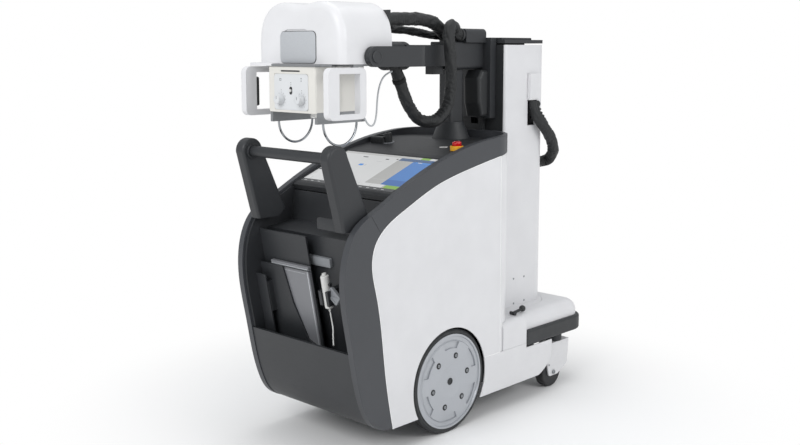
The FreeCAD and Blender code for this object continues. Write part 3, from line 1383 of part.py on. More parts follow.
def switch_cradle():
    """The open holder that grips the hand switch, with its foot on the bin's back wall."""
    x, forward, height = size("switch_x"), size("switch_forward"), size("switch_height")
    radius = size("switch_radius")
    outer = Part.makeBox(2 * radius + 16, 2 * radius + 14, 52, V(-radius - 8, -radius - 4, 14))
    inner = Part.makeCylinder(radius + 0.6, 200, V(0, 0, -50))
    mouth = Part.makeBox(2 * radius - 8, 60, 200, V(-radius + 4, -70, 0))
    shell = outer.cut(inner).cut(mouth)
    lean = math.radians(size("bin_lean"))
    floor_y, floor_z = -size("bin_floor_rear"), size("bin_floor_height")
    wall_y = floor_y - math.tan(lean) * (height + 40 - floor_z)
    reach = (wall_y + forward) * math.cos(lean)
    bracket = Part.makeBox(24, reach - radius + 21, 40, V(-12, radius + 9, 20))
    cradle = leaning(shell.fuse(bracket), x, forward, height)
    wall = side_face(lines((
        (floor_y, floor_z),
        (floor_y + 100, floor_z),
        (floor_y + 100, size("bin_shelf_height")),
        (floor_y - math.tan(lean) * (size("bin_shelf_height") - floor_z), size("bin_shelf_height")),
        (floor_y, floor_z),
    )))
    return cradle.cut(across(wall, -200, 200))


def console():
    """The dark console top with the touch screen let into it, the deck, and what stands on the deck."""
    half = size("body_half_width") - size("band_width") - size("seam")
    lean = math.radians(size("screen_lean"))
    front_y, front_z = -size("screen_front_forward"), size("screen_front_height")
    length, thick = size("screen_length"), size("console_thickness")
    rear_y, rear_z = front_y + length * math.cos(lean), front_z + length * math.sin(lean)
    deck_z, deck_rear = size("console_rear_height"), size("body_rear_y") - 8 - size("seam")
    top = [(front_y - 18, front_z - 12), (front_y - 8, front_z - 8 * math.tan(lean)),
           (rear_y + 8, rear_z + 8 * math.tan(lean)), (rear_y + 30, rear_z + 8),
           (size("post_y") - size("post_foot_radius") - 6, deck_z), (deck_rear, deck_z)]
    under = [(y + 2, z - thick) for y, z in reversed(top)]
    under[-1] = (top[0][0] + 2, top[0][1] - thick - 8)
    side = side_face(lines(top + [(deck_rear, deck_z - thick)] + under[1:] + top[:1]))
    solid = across(side, -half, half)
    corner = size("body_corner_radius") - size("band_width") - size("seam")
    solid = solid.common(plan(half, deck_rear, corner, 700, 1200))
    glass = Part.makeBox(size("screen_width"), length, size("screen_thickness") + 20,
                         V(-size("screen_width") / 2, 0, -size("screen_thickness")))
    seat = glass.copy()
    screen = Part.makeBox(size("screen_width") - 1, length - 1, size("screen_thickness") - 0.3,
                          V(-size("screen_width") / 2 + 0.5, 0.5, -size("screen_thickness") + 0.0))
    for shape in (seat, screen):
        shape.rotate(V(0, 0, 0), V(1, 0, 0), size("screen_lean"))
        shape.translate(V(0, front_y, front_z))
    node("console_top", computed("console_top", solid.cut(seat).removeSplitter()))
    node("display_panel", computed("display_panel", screen))


def rest_post():
    """The post that the folded arm rests on, with its flared foot."""
    foot = rod("post_foot", "z", ("0", "post_y", "console_rear_height"), "post_foot_height",
               "post_foot_radius", top="post_foot_radius - 26")
    body = new_body("post_bar")
    item = sketch_on(body, "post_plan", "XY_Plane", "console_rear_height + 2")
    rectangle(item, "-post_width / 2", "post_y - post_depth / 2", "post_width / 2", "post_y + post_depth / 2")
    pad(body, item, "post_top - console_rear_height - 2")
    round_off(body, "post_round", upright)
    node("rest_post", fuse("rest_post", foot, body))


def emergency_stop():
    """A mushroom button on its round base, square to the sloping deck."""
    lean = FreeCAD.Rotation(V(1, 0, 0), deck_lean())
    base_z = deck_height(size("stop_y"))
    base = doc.addObject("Part::Cylinder", "estop_base_disc")
    base.setExpression("Radius", linked("stop_base_radius"))
    base.setExpression("Height", linked("stop_base_height"))
    place = V(size("stop_x"), size("stop_y"), base_z)
    bore = doc.addObject("Part::Cylinder", "estop_bore")
    bore.setExpression("Radius", linked("6.05"))
    bore.setExpression("Height", linked("stop_base_height + 1"))
    for item in (base, bore):
        item.Placement = FreeCAD.Placement(place, lean)
    node("estop_base", cut("estop_base", base, bore))
    stem = Part.makeCylinder(6, size("stop_base_height") + size("stop_travel") - 3, V(0, 0, 6))
    head = Part.makeCylinder(size("stop_head_radius"), size("stop_head_height"),
                             V(0, 0, size("stop_base_height") + size("stop_travel") + 0.4))
    head = head.makeFillet(5, [e for e in head.Edges if e.BoundBox.ZLength < 0.01 and e.CenterOfMass.z > 20])
    button = stem.fuse(head)
    button.Placement = FreeCAD.Placement(place, lean)
    node("estop_button", computed("estop_button", button))


def deck_lean():
    """The slope in degrees of the deck between the screen and the post."""
    start_y, start_z, end_y, end_z = deck_ends()
    return math.degrees(math.atan2(end_z - start_z, end_y - start_y))


def deck_ends():
    lean = math.radians(size("screen_lean"))
    rear_y = -size("screen_front_forward") + size("screen_length") * math.cos(lean)
    rear_z = size("screen_front_height") + size("screen_length") * math.sin(lean)
    end_y = size("post_y") - size("post_foot_radius") - 6
    return rear_y + 30, rear_z + 8, end_y, size("console_rear_height")


def deck_height(y):
    start_y, start_z, end_y, end_z = deck_ends()
    return start_z + (y - start_y) * (end_z - start_z) / (end_y - start_y)


def reader_holder():
    """The small dark box for a code reader at the deck's left edge."""
    y, wide = -22.0, 74.0
    lean = FreeCAD.Rotation(V(1, 0, 0), deck_lean())
    box = Part.makeBox(wide, 52, 26, V(-wide / 2, -26, 0))
    box = box.makeFillet(5, [e for e in box.Edges if e.CenterOfMass.z > 5])
    box = box.cut(Part.makeBox(wide - 24, 26, 18, V(-wide / 2 + 12, -13, 10)))
    box.Placement = FreeCAD.Placement(V(-200, y, deck_height(y) + 0.0), lean)
    node("reader_holder", computed("reader_holder", box))


def brake_pedal():
    """The dark foot pedal beside the column, on its short lever."""
    x, y, radius = size("pedal_x"), size("pedal_y"), size("pedal_radius")
    z = size("base_top") + 7
    lever = Part.makeCylinder(6, 56, V(x, y - 52, z), V(0, 1, 0.12))
    pin = Part.makeCylinder(6.6, 26, V(x - 13, y - 52, z), V(1, 0, 0))
    ball = Part.makeSphere(radius, V(x, y + 8, z + 8))
    node("brake_pedal", computed("brake_pedal", lever.fuse(ball).fuse(pin)))


# Cables


def cable(name, points, radius, small_turns=()):
    """A round cable through hand-chosen points: straight runs joined by tangent arcs."""
    places = [V(*p) for p in points]
    edges, start, radii = [], places[0], []
    for before, corner, after in zip(places, places[1:], places[2:]):
        into, out = corner - before, after - corner
        turn = into.getAngle(out)
        reach = 0.45 * min(into.Length, out.Length)
        bend = reach / math.tan(turn / 2)
        radii.append(round(bend))
        into.normalize()
        out.normalize()
        first, last = corner - into * reach, corner + out * reach
        inward = (out - into).normalize()
        centre_distance = bend / math.cos(turn / 2)
        middle = corner + inward * (centre_distance - bend)
        edges.append(Part.makeLine(start, first))
        edges.append(Part.Arc(first, middle, last).toShape())
        start = last
    edges.append(Part.makeLine(start, places[-1]))
    spine = Part.Wire(edges)
    direction = places[1] - places[0]
    section = Part.Wire([Part.makeCircle(radius, places[0], direction)])
    solid = spine.makePipeShell([section], True, False)
    expected = math.pi * radius * radius * spine.Length
    share = solid.Volume / expected
    print("%s: length %.0f mm, radii %s, volume share %.4f" % (name, spine.Length, radii, share))
    assert abs(share - 1) < 0.02, "the cable %s has a bad volume" % name
    return node(name, computed(name, solid))


def cables():
    radius, slim = size("sleeve_radius"), size("slim_sleeve_radius")
    cable("head_cable_upper", UPPER_ROUTE, radius)
    cable("head_cable_lower", LOWER_ROUTE, radius - 2)
    cable("head_cable_far", FAR_ROUTE, slim)
    cable("column_sleeve", REAR_ROUTE, size("rear_sleeve_radius"))
    cable("head_lead", LEAD_ROUTE, size("lead_radius"))
    lean = math.radians(size("bin_lean"))
    down = V(0, math.sin(lean), -math.cos(lean))
    start = V(size("switch_x"), -size("switch_forward"), size("switch_height")) + down * 12
    route = (tuple(start), tuple(start + down * 28)) + SWITCH_ROUTE
    cable("hand_switch_cord", route, size("switch_cord_radius"))


UPPER_ROUTE = (
    (60, -372.5, 1478), (60, -300, 1479), (56, -200, 1487), (48, -100, 1491), (34, 0, 1486), (12, 78, 1460),
    (-5, 124, 1434), (-5, 165.5, 1434),
)
LOWER_ROUTE = (
    (112, -372.5, 1376), (112, -325, 1376), (112, -288, 1350), (109, -256, 1294), (106, -214, 1206),
    (102, -154, 1136), (99, -84, 1112), (98, -18, 1122), (97, 28, 1168), (96, 48, 1234), (95, 48, 1306),
    (93, 44, 1378), (88, 42, 1438), (74, 70, 1474), (54, 112, 1462), (45, 136, 1434), (45, 165.5, 1434),
)
FAR_ROUTE = (
    (-70, -372.5, 1448), (-71, -300, 1449), (-70, -200, 1454), (-64, -100, 1455), (-56, 0, 1449), (-50, 90, 1432),
    (-50, 165.5, 1432),
)
REAR_ROUTE = (
    (148, 500, 1174), (149, 500, 1148), (160, 506, 1112), (171, 540, 1068), (170, 588, 1024), (160, 622, 984),
    (140, 644, 950), (120, 652, 924), (90, 634, 914), (90, 597.6, 914),
)
LEAD_ROUTE = (
    (122.5, -446, 1180), (127, -438, 1150), (134, -420, 1120), (140, -402, 1122), (142, -392, 1156), (142, -388, 1222),
    (142, -372, 1272), (142, -344, 1298), (142, -316, 1304),
)
SWITCH_ROUTE = (
    (116, -576, 442), (132, -592, 416), (154, -610, 396),
)


def build():
    covers()
    base_frame()
    drive_motors()
    power_modules()
    for side, sign in (("right", 1), ("left", -1)):
        drive_wheel(side, sign)
    castor("right", "")
    castor("left", "-")
    column()
    mast()
    carriage()
    arm()
    fork()
    tube_head()
    collimator()
    handle()
    bin_tray()
    bin_guides()
    detector()
    hand_switch()
    console()
    rest_post()
    emergency_stop()
    reader_holder()
    brake_pedal()
    cables()


def check():
    """Stop on any object that failed and on any sub-part without a good shape."""
    for item in doc.Objects:
        states = set(item.State)
        assert not states & {"Invalid", "Error"}, "%s failed: %s" % (item.Name, item.State)
    for item in NODES:
        shape = item.Shape
        assert not shape.isNull() and shape.isValid() and shape.Volume > 0, "%s has no good shape" % item.Label


def export():
    os.makedirs("parts", exist_ok=True)
    for item in NODES:
        item.Shape.exportStep("parts/%s.step" % item.Label)
    print("%d nodes written" % len(NODES))


build()
doc.recompute()
check()
export()
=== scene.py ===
# %% [markdown]
# A hospital's mobile x-ray machine: a battery driven trolley with a turning column, a telescopic
# arm and a tube head. The CAD model gives every rigid shape. This script adds what CAD leaves out:
# woven cable sleeves, finishes, the lit display, printed scales, trims and small fittings.
# Everything is in metres and in the CAD model's own frame, so no piece is fitted by eye.

# %% Load the frame
import math

import bmesh
import bpy
from mathutils import Matrix, Vector, noise


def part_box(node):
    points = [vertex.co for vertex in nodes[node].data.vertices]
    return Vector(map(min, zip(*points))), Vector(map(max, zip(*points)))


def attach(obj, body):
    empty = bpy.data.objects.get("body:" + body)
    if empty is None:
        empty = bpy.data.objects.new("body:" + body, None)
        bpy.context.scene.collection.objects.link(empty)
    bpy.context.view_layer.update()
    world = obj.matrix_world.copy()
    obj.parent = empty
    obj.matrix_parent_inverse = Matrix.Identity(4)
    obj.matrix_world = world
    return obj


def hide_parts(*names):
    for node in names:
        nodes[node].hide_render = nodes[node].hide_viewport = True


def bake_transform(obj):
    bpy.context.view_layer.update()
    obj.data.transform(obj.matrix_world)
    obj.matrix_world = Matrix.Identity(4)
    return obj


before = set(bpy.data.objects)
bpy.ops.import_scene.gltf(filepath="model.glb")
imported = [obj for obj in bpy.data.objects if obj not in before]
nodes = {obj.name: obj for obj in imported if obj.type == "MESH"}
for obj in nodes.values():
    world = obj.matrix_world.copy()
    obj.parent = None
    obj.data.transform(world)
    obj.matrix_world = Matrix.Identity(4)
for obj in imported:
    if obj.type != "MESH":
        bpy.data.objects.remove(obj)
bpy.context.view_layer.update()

# %% [markdown]
# The camera stands in front of the machine and to its right, a little above the display, and looks
# slightly down. Its place was worked out by matching the corners of the CAD model to the picture,
# which is more exact than turning a view by hand until it looks right.

# %% Camera
view_data = bpy.data.cameras.new("studio_camera")
view_data.lens = 46.148
view_data.sensor_width = 36.0
view_data.shift_y = -0.05
view_data.clip_end = 60.0
camera = bpy.data.objects.new("studio_camera", view_data)
camera.location = (2.6204, -2.8663, 1.3812)
camera.rotation_euler = (math.radians(90.0 - 7.4226), 0.0, math.radians(43.7366))
bpy.context.scene.collection.objects.link(camera)
bpy.context.scene.camera = camera
print("camera", [round(v, 3) for v in camera.location], "lens", view_data.lens)

# %% [markdown]
# Cables come first, because their routes decide whether the model fits its frame. A route is a
# smooth NURBS line through a few listed points. Here the line's own points are read back, so
# that a tube, its folds and its ties can all follow one and the same line.

# %% Routes
ROUTES = {
    "upper": [(60, -372.5, 1478), (60, -300, 1479), (56, -200, 1487), (48, -100, 1491), (34, 0, 1486),
              (12, 78, 1460), (-5, 124, 1434), (-5, 165.5, 1434)],
    "lower": [(112, -372.5, 1376), (112, -325, 1376), (112, -288, 1350), (109, -256, 1294), (106, -214, 1206),
              (102, -154, 1136), (99, -84, 1112), (98, -18, 1122), (97, 28, 1168), (96, 48, 1234),
              (95, 48, 1306), (93, 44, 1378), (88, 42, 1438), (74, 70, 1474), (54, 112, 1462),
              (45, 136, 1434), (45, 165.5, 1434)],
    "far": [(-70, -372.5, 1448), (-71, -300, 1449), (-70, -200, 1454), (-64, -100, 1455), (-56, 0, 1449),
            (-50, 90, 1432), (-50, 165.5, 1432)],
    "rear": [(148, 500, 1174), (149, 500, 1148), (160, 506, 1112), (171, 540, 1068), (170, 588, 1024),
             (160, 622, 984), (140, 644, 950), (120, 652, 924), (90, 634, 914), (90, 597.6, 914)],
    "lead": [(122.5, -446, 1180), (127, -438, 1150), (134, -420, 1120), (140, -402, 1122), (142, -392, 1156),
             (142, -388, 1222), (142, -372, 1272), (142, -344, 1298), (142, -316, 1304)],
    "switch": [(106, -580.71, 500.22), (106, -575.37, 472.74), (116, -576, 442), (132, -592, 416),
               (154, -610, 396)],
}


def route_line(name):
    """The points along one route's NURBS line, in metres."""
    data = bpy.data.curves.new("route_" + name, "CURVE")
    data.dimensions = "3D"
    data.resolution_u = 32
    spline = data.splines.new("NURBS")
    corners = ROUTES[name]
    spline.points.add(len(corners) - 1)
    for point, corner in zip(spline.points, corners):
        point.co = (*[v / 1000 for v in corner], 1.0)
    spline.order_u = 3
    spline.use_endpoint_u = True
    holder = bpy.data.objects.new("route_" + name, data)
    mesh = bpy.data.meshes.new_from_object(holder)
    line = [v.co.copy() for v in mesh.vertices]
    bpy.data.objects.remove(holder)
    bpy.data.meshes.remove(mesh)
    return line


def length_of(line):
    return sum((b - a).length for a, b in zip(line, line[1:]))


for name in ROUTES:
    print("route", name, "length", round(length_of(route_line(name)), 3))

# %% [markdown]
# The high voltage cables run in sewn fabric sleeves. Cloth on a bend has too much length on the
# inside and gathers there in short folds, while it pulls smooth on the outside. A tube made ring by
# ring can do this: each point's radius depends on how tight the line bends there and on which side
# of the bend the point lies.


# %% Rings along a line
def even_steps(line, step):
    """Points at equal distances along a line, with the distance of each."""
    total = length_of(line)
    count = max(8, round(total / step))
    out, place, walked, index = [], 0.0, 0.0, 0
    for k in range(count + 1):
        place = total * k / count
        while index < len(line) - 2 and walked + (line[index + 1] - line[index]).length < place:
            walked += (line[index + 1] - line[index]).length
            index += 1
        span = (line[index + 1] - line[index]).length
        part = min(1.0, max(0.0, (place - walked) / span)) if span else 0.0
        out.append((line[index].lerp(line[index + 1], part), place))
    return out


def ring_frames(line, step):
    """At each step along a line: its centre, its distance, two directions across it, and its bend."""
    steps = even_steps(line, step)
    centres = [c for c, _ in steps]
    frames, side = [], None
    last = len(centres) - 1
    for k, (centre, place) in enumerate(steps):
        ahead = (centres[min(k + 1, last)] - centres[max(k - 1, 0)]).normalized()
        if side is None:
            side = ahead.orthogonal().normalized()
        side = (side - ahead * side.dot(ahead)).normalized()
        wide = 5
        before, after = centres[max(k - wide, 0)], centres[min(k + wide, last)]
        bend = (before + after) / 2 - centre
        reach = ((after - before).length / 2) ** 2 / 2
        frames.append((centre, place, side.copy(), ahead.cross(side), bend / max(reach, 1e-6)))
    return frames


STEP = 0.003  # from ring to ring along a sleeve
FOLD_EVERY, PLEAT_EVERY = 0.021, 0.0125
END_LENGTH = 0.03  # near its ends a sleeve is pulled smooth


def sleeve_radius(radius, place, angle, bend, across, up, total):
    """How far the cloth stands from the line at one point of one ring."""
    pointing = across * math.cos(angle) + up * math.sin(angle)
    inside = bend.dot(pointing) * radius
    gather = min(1.0, max(0.0, inside) * 3.4)
    ragged = noise.noise(Vector((place * 22, 3.1, radius * 90)))
    wave = place / FOLD_EVERY + 0.9 * ragged + 0.25 * math.sin(angle * 2)
    fold = (0.5 - 0.5 * math.cos(2 * math.pi * wave)) ** 0.8
    turn = angle + place / 0.085
    drape = noise.noise(Vector((1.7 * math.cos(turn), 1.7 * math.sin(turn), place / 0.045 + radius * 40)))
    slack = noise.noise(Vector((2.9 * math.cos(angle), 2.9 * math.sin(angle), place / 0.019)))
    near_end = min(1.0, place / END_LENGTH, (total - place) / END_LENGTH)
    turned = Vector((1.3 * math.cos(angle + 2), 1.3 * math.sin(angle + 2), place / 0.034 + 7))
    tuck = max(0.0, noise.noise(turned))
    pleat = 0.5 - 0.5 * math.cos(2 * math.pi * (place / PLEAT_EVERY + 0.35 * math.sin(2 * angle)))
    out = radius * 0.955 + near_end * (0.0034 * drape + 0.0018 * slack - 0.0040 * tuck * pleat)
    out += gather * radius * (0.42 * fold - 0.34)
    return out


# %% [markdown]
# A sleeve becomes a mesh tube over its rings. It is cut into lengths, because a soft piece can only
# bend across one joint, and the whole tube's normals are kept so that no cut shows.

# %% Sleeve tubes
def tube(name, frames, profile, sides=48, around=None):
    """A mesh tube over some rings. Its UV map holds metres along and metres around."""
    mesh = bpy.data.meshes.new(name)
    build = bmesh.new()
    uv = build.loops.layers.uv.new("cloth")
    rings = []
    for centre, place, across, up, bend in frames:
        ring = []
        for k in range(sides):
            angle = 2 * math.pi * k / sides
            out = profile(place, angle, bend, across, up)
            ring.append(build.verts.new(centre + (across * math.cos(angle) + up * math.sin(angle)) * out))
        rings.append(ring)
    girth = 2 * math.pi * (around or profile(frames[0][1], 0.0, frames[0][4], frames[0][2], frames[0][3]))
    for r, (low, high) in enumerate(zip(rings, rings[1:])):
        for k in range(sides):
            face = build.faces.new((low[k], low[(k + 1) % sides], high[(k + 1) % sides], high[k]))
            face.smooth = True
            for loop, (along, part) in zip(face.loops, ((r, k), (r, k + 1), (r + 1, k + 1), (r + 1, k))):
                loop[uv].uv = (frames[along][1], girth * part / sides)
    build.to_mesh(mesh)
    build.free()
    piece = bpy.data.objects.new(name, mesh)
    bpy.context.scene.collection.objects.link(piece)
    return piece


def cut_sleeve(name, route, radius, spans, node, step=STEP, sides=48):
    """One sleeve, cut into lengths at the given shares along it."""
    frames = ring_frames(route_line(route), step)
    total = frames[-1][1]

    def profile(place, angle, bend, across, up):
        return sleeve_radius(radius, place, angle, bend, across, up, total)

    whole = tube(name + "_whole", frames, profile, sides, radius)
    normals = [v.normal.copy() for v in whole.data.vertices]
    pieces, start = [], 0
    for k, (bodies, share) in enumerate(spans):
        end = len(frames) - 1 if k == len(spans) - 1 else start + max(3, round(share / step))
        part = tube("%s_%d" % (name, k + 1), frames[start:end + 1], profile, sides, radius)
        part.data.normals_split_custom_set_from_vertices(normals[start * sides:(end + 1) * sides])
        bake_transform(part)
        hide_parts(node)
        pieces.append((part, [f[0] for f in frames[start:end + 1]]))
        start = end
    bpy.data.objects.remove(whole)
    return pieces


# The tube head is joined to the mast through four joints, so each sleeve has four lengths, in order
# from the head's gland to the boot on the arm.
HEAD, FORK, INNER, MIDDLE, MAST = "head", "fork", "arm_inner", "arm_middle", "mast"


def declare(pieces, radius):
    """Sort the sleeve's lengths into long and short ones, and group each short length with its nearest long
    one.
    """
    long = [k for k, (_, line) in enumerate(pieces) if length_of(line) >= 12 * radius + 0.001]
    taken = {k: [] for k in long}
    for k in range(len(pieces)):
        if k not in long:
            taken[min(long, key=lambda other: abs(other - k))].append(pieces[k][0])
    for k in long:
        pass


# %% [markdown]
# Three sleeves cross the gap to the arm: a thick one on top, one that hangs down in a deep loop,
# and a thin one on the far side. The shares are the lengths, in metres, up to each cut.

# %% The three sleeves at the arm
JOINTS = ((HEAD, FORK), (FORK, INNER), (INNER, MIDDLE), (MIDDLE, MAST))
sleeves = {}
for name, radius, shares, sides in (("upper", 0.025, (0.126, 0.304, 0.062, 0.06), 48),
                                    ("lower", 0.023, (0.148, 0.39, 0.285, 0.14), 48),
                                    ("far", 0.016, (0.1, 0.197, 0.195, 0.05), 36)):
    sleeves[name] = cut_sleeve(name + "_sleeve", name, radius, list(zip(JOINTS, shares)),
                               "head_cable_" + name, sides=sides)
    declare(sleeves[name], radius)

# %% [markdown]
# A fourth sleeve leaves the hood on the column's side and goes back into the column lower down. The
# column carries both its ends, so it is one length. The thin lead to the collimator and the hand
# switch's cord are plain PVC, so their tubes are round and smooth.


def plain_cord(name, route, step, radius, sides, node):
    """A round and smooth cord."""
    rings = ring_frames(route_line(route), step)
    piece = tube(name, rings, lambda *_: radius, sides, radius)
    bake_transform(piece)
    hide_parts(node)
    return piece


frames = ring_frames(route_line("rear"), STEP)
rear_end = frames[-1][1]


def rear_profile(place, angle, bend, across, up):
    """The rear sleeve: a flat strap where it leaves the hood, and rounder towards its lower end."""
    pointing = across * math.cos(angle) + up * math.sin(angle)
    flat = max(0.0, 1 - place / 0.22)
    shape = 1 + flat * (0.30 * pointing.y ** 2 - 0.36 * pointing.x ** 2)
    return sleeve_radius(0.024, place, angle, bend, across, up, rear_end) * shape


rear_sleeve = tube("rear_sleeve", frames, rear_profile, 48, 0.024)
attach(rear_sleeve, "column")
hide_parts("column_sleeve")
lead = plain_cord("collimator_lead", "lead", STEP, 0.003, 16, "head_lead")
switch_cord = plain_cord("switch_cord", "switch", 0.002, 0.0025, 14,
                         "hand_switch_cord")

# %% [markdown]
# The machine was photographed on white paper in even light. A large lamp in front, one on the right
# and a broad one overhead give soft edges to its shadows. The floor looks white where nothing
# shades it, because a mask fades it into the backdrop, and near the wheels it keeps the shadow.


# %% Node helper
def linear(code):
    """An sRGB hex colour as the linear numbers that shaders use."""
    parts = [int(code[i:i + 2], 16) / 255 for i in (0, 2, 4)]
    return tuple(c / 12.92 if c <= 0.04045 else ((c + 0.055) / 1.055) ** 2.4 for c in parts) + (1.0,)


def add(tree, kind, inputs=(), **settings):
    """One node with its settings. An input that is given a socket is linked, and a value is set."""
    made = tree.nodes.new("ShaderNode" + kind)
    for name, value in settings.items():
        setattr(made, name, value)
    for name, value in dict(inputs).items():
        if isinstance(value, bpy.types.NodeSocket):
            tree.links.new(value, made.inputs[name])
        else:
            made.inputs[name].default_value = value
    return made


def toned(base, by, plus=0.0):
    """A linear colour made darker or lighter."""
    return tuple(min(1.0, c * by + plus) for c in base[:3]) + (1.0,)


def bare(name):
    """A material with an empty node tree and its output."""
    made = bpy.data.materials.new(name)
    made.use_nodes = True
    made.node_tree.nodes.clear()
    return made, made.node_tree, add(made.node_tree, "OutputMaterial")


# %% [markdown]
# The floor is wide white paper, and the world is bright to the camera and softer as a light.

# %% Floor, world and lamps
bpy.ops.object.select_all(action="DESELECT")
bpy.ops.mesh.primitive_plane_add(size=24, location=(0, 0, 0))
floor = bpy.context.object
floor.name = "studio_floor"
paper, tree, output = bare("white studio paper")
seen = add(tree, "LightPath")
shade = add(tree, "BsdfDiffuse", {"Color": linear("f4f4f4")})
glow = add(tree, "Emission", {"Color": (1, 1, 1, 1), "Strength": 1.0})
distance = add(tree, "VectorMath", {0: add(tree, "TexCoord").outputs["Object"]}, operation="LENGTH")
far_off = add(tree, "MapRange", {"Value": distance.outputs["Value"], "From Min": 0.55, "From Max": 1.5},
              interpolation_type="SMOOTHSTEP")
either = add(tree, "Math", {0: seen.outputs["Is Camera Ray"], 1: seen.outputs["Is Glossy Ray"]},
             operation="MAXIMUM")
either = add(tree, "Math", {0: either.outputs[0], 1: seen.outputs["Is Transmission Ray"]},
             operation="MAXIMUM")
mask = add(tree, "Math", {0: either.outputs[0], 1: far_off.outputs["Result"]}, operation="MULTIPLY")
mixed = add(tree, "MixShader", {0: mask.outputs[0], 1: shade.outputs[0], 2: glow.outputs[0]})
tree.links.new(mixed.outputs[0], output.inputs["Surface"])
floor.data.materials.append(paper)

world = bpy.data.worlds.new("studio_world")
bpy.context.scene.world = world
world.use_nodes = True
world.node_tree.nodes.clear()
tree = world.node_tree
seen = add(tree, "LightPath")
either = add(tree, "Math", {0: seen.outputs["Is Camera Ray"], 1: seen.outputs["Is Transmission Ray"]},
             operation="MAXIMUM")
soft = add(tree, "Background", {"Color": linear("f2f4f6"), "Strength": 0.68})
white = add(tree, "Background", {"Color": (1, 1, 1, 1), "Strength": 1.0})
mixed = add(tree, "MixShader", {0: either.outputs[0], 1: soft.outputs[0], 2: white.outputs[0]})
tree.links.new(mixed.outputs[0], add(tree, "OutputWorld").inputs["Surface"])


def lamp(name, place, aim, width, power):
    data = bpy.data.lights.new(name, "AREA")
    data.shape = "RECTANGLE"
    data.size, data.size_y, data.energy = width, width * 0.8, power
    made = bpy.data.objects.new(name, data)
    made.location = place
    made.rotation_euler = (Vector(aim) - Vector(place)).to_track_quat("-Z", "Y").to_euler()
    bpy.context.scene.collection.objects.link(made)


lamp("key_lamp", (0.6, -4.2, 3.4), (0, -0.1, 0.8), 2.6, 92)
lamp("side_lamp", (4.0, 0.6, 2.6), (0, 0, 0.8), 2.4, 52)
lamp("top_lamp", (-0.4, 0.4, 4.2), (0, 0, 0.6), 3.0, 30)
bpy.context.scene.view_settings.view_transform = "Standard"
print("stage: floor, world and 3 lamps")

# %% [markdown]
# Most of the covers are moulded or painted plastic. Up close such a surface isn't flat: a spark
# eroded mould leaves a fine grain, paint dries with a faint orange peel, and hands and trolleys
# leave duller rubs. One recipe with a few numbers gives all of these, each at its real size.


# %% Moulded and painted plastic
def plastic(name, colour, rough, grain, height, rub=0.07, dirt=0.0, coat=0.0, sheen=0.0, edge=0.0016):
    """Colour, roughness, grain size and height in metres, rubs, floor dirt and edges that catch light."""
    made, tree, output = bare(name)
    place = add(tree, "TexCoord").outputs["Object"]
    broad = add(tree, "TexNoise", {"Vector": place, "Scale": 9.0, "Detail": 3.0})
    fine = add(tree, "TexNoise", {"Vector": place, "Scale": 1 / grain, "Detail": 2.0})
    marks = add(tree, "Mapping", {"Vector": place, "Scale": (14.0, 14.0, 46.0), "Rotation": (0.5, 0.4, 0.2)})
    scuff = add(tree, "TexNoise", {"Vector": marks.outputs[0], "Scale": 1.6, "Detail": 6.0,
                                   "Roughness": 0.75})
    worn = add(tree, "MapRange", {"Value": scuff.outputs["Fac"], "From Min": 0.54, "From Max": 0.74})
    base = linear(colour)
    tint = add(tree, "Mix", {0: broad.outputs["Fac"], 6: toned(base, 0.93), 7: toned(base, 1.05, 0.002)},
               data_type="RGBA")
    last = tint.outputs[2]
    if dirt:
        height_up = add(tree, "SeparateXYZ", {0: place}).outputs[2]
        low = add(tree, "MapRange", {"Value": height_up, "From Min": 0.42, "From Max": 0.06, "To Max": dirt})
        patchy = add(tree, "Math", {0: low.outputs["Result"], 1: scuff.outputs["Fac"]}, operation="MULTIPLY")
        soiled = add(tree, "Mix", {0: patchy.outputs[0], 6: last, 7: linear("6f6c67")}, data_type="RGBA")
        last = soiled.outputs[2]
    roughness = add(tree, "MapRange", {"Value": worn.outputs["Result"], "To Min": rough,
                                       "To Max": rough + rub})
    soft_edge = add(tree, "Bevel", {"Radius": edge}, samples=4)
    bump = add(tree, "Bump", {"Height": fine.outputs["Fac"], "Strength": 1.0, "Distance": height,
                              "Normal": soft_edge.outputs[0]})
    skin = add(tree, "BsdfPrincipled", {"Base Color": last, "Roughness": roughness.outputs["Result"],
                                        "Normal": bump.outputs[0], "IOR": 1.5})
    skin.inputs["Coat Weight"].default_value = coat
    skin.inputs["Coat Roughness"].default_value = 0.12
    skin.inputs["Sheen Weight"].default_value = sheen
    tree.links.new(skin.outputs[0], output.inputs["Surface"])
    return made


# %% [markdown]
# Each finish has the real surface's colour, gloss and grain, except that the deck's colour is darkened
# as painted shade and the panel lip's is lightened as a painted highlight. The numbers are roughness,
# grain size and grain height, and where given how much rubbing and floor dirt changes it.

# %% Plastic finishes
# Charcoal ABS from a grained mould: satin, with a soft highlight along every rounded edge.
charcoal = plastic("charcoal ABS, grained mould", "2c2e31", 0.46, 0.0011, 0.00009)
# The deck round the display is the same plastic, given a darker colour as painted shade on this top face.
shaded_deck_charcoal = plastic("charcoal ABS, painted shade for the deck", "232528", 0.50, 0.0010, 0.00007)
# The wide band down each side is painted, a shade lighter and smoother than the grained parts.
band = plastic("grey painted ABS", "3f4145", 0.40, 0.0022, 0.00004)
# Side covers: white two pack paint, close to neutral, with orange peel and a little floor dirt.
white_paint = plastic("white painted ABS", "dcdcde", 0.34, 0.0030, 0.00004, 0.10, 0.10, 0.15)
# The tube head's shell and grips are moulded in white and have a silky skin.
white_shell = plastic("white ABS, silk mould", "e0e0e2", 0.36, 0.0013, 0.00003, 0.08)
warm_shell = plastic("warm white ABS, silk mould", "dedcd6", 0.40, 0.0013, 0.00003, 0.08)
# Black glass filled nylon for hidden and working parts, with a coarser grain.
nylon = plastic("black glass filled nylon", "26282a", 0.50, 0.0014, 0.00010)
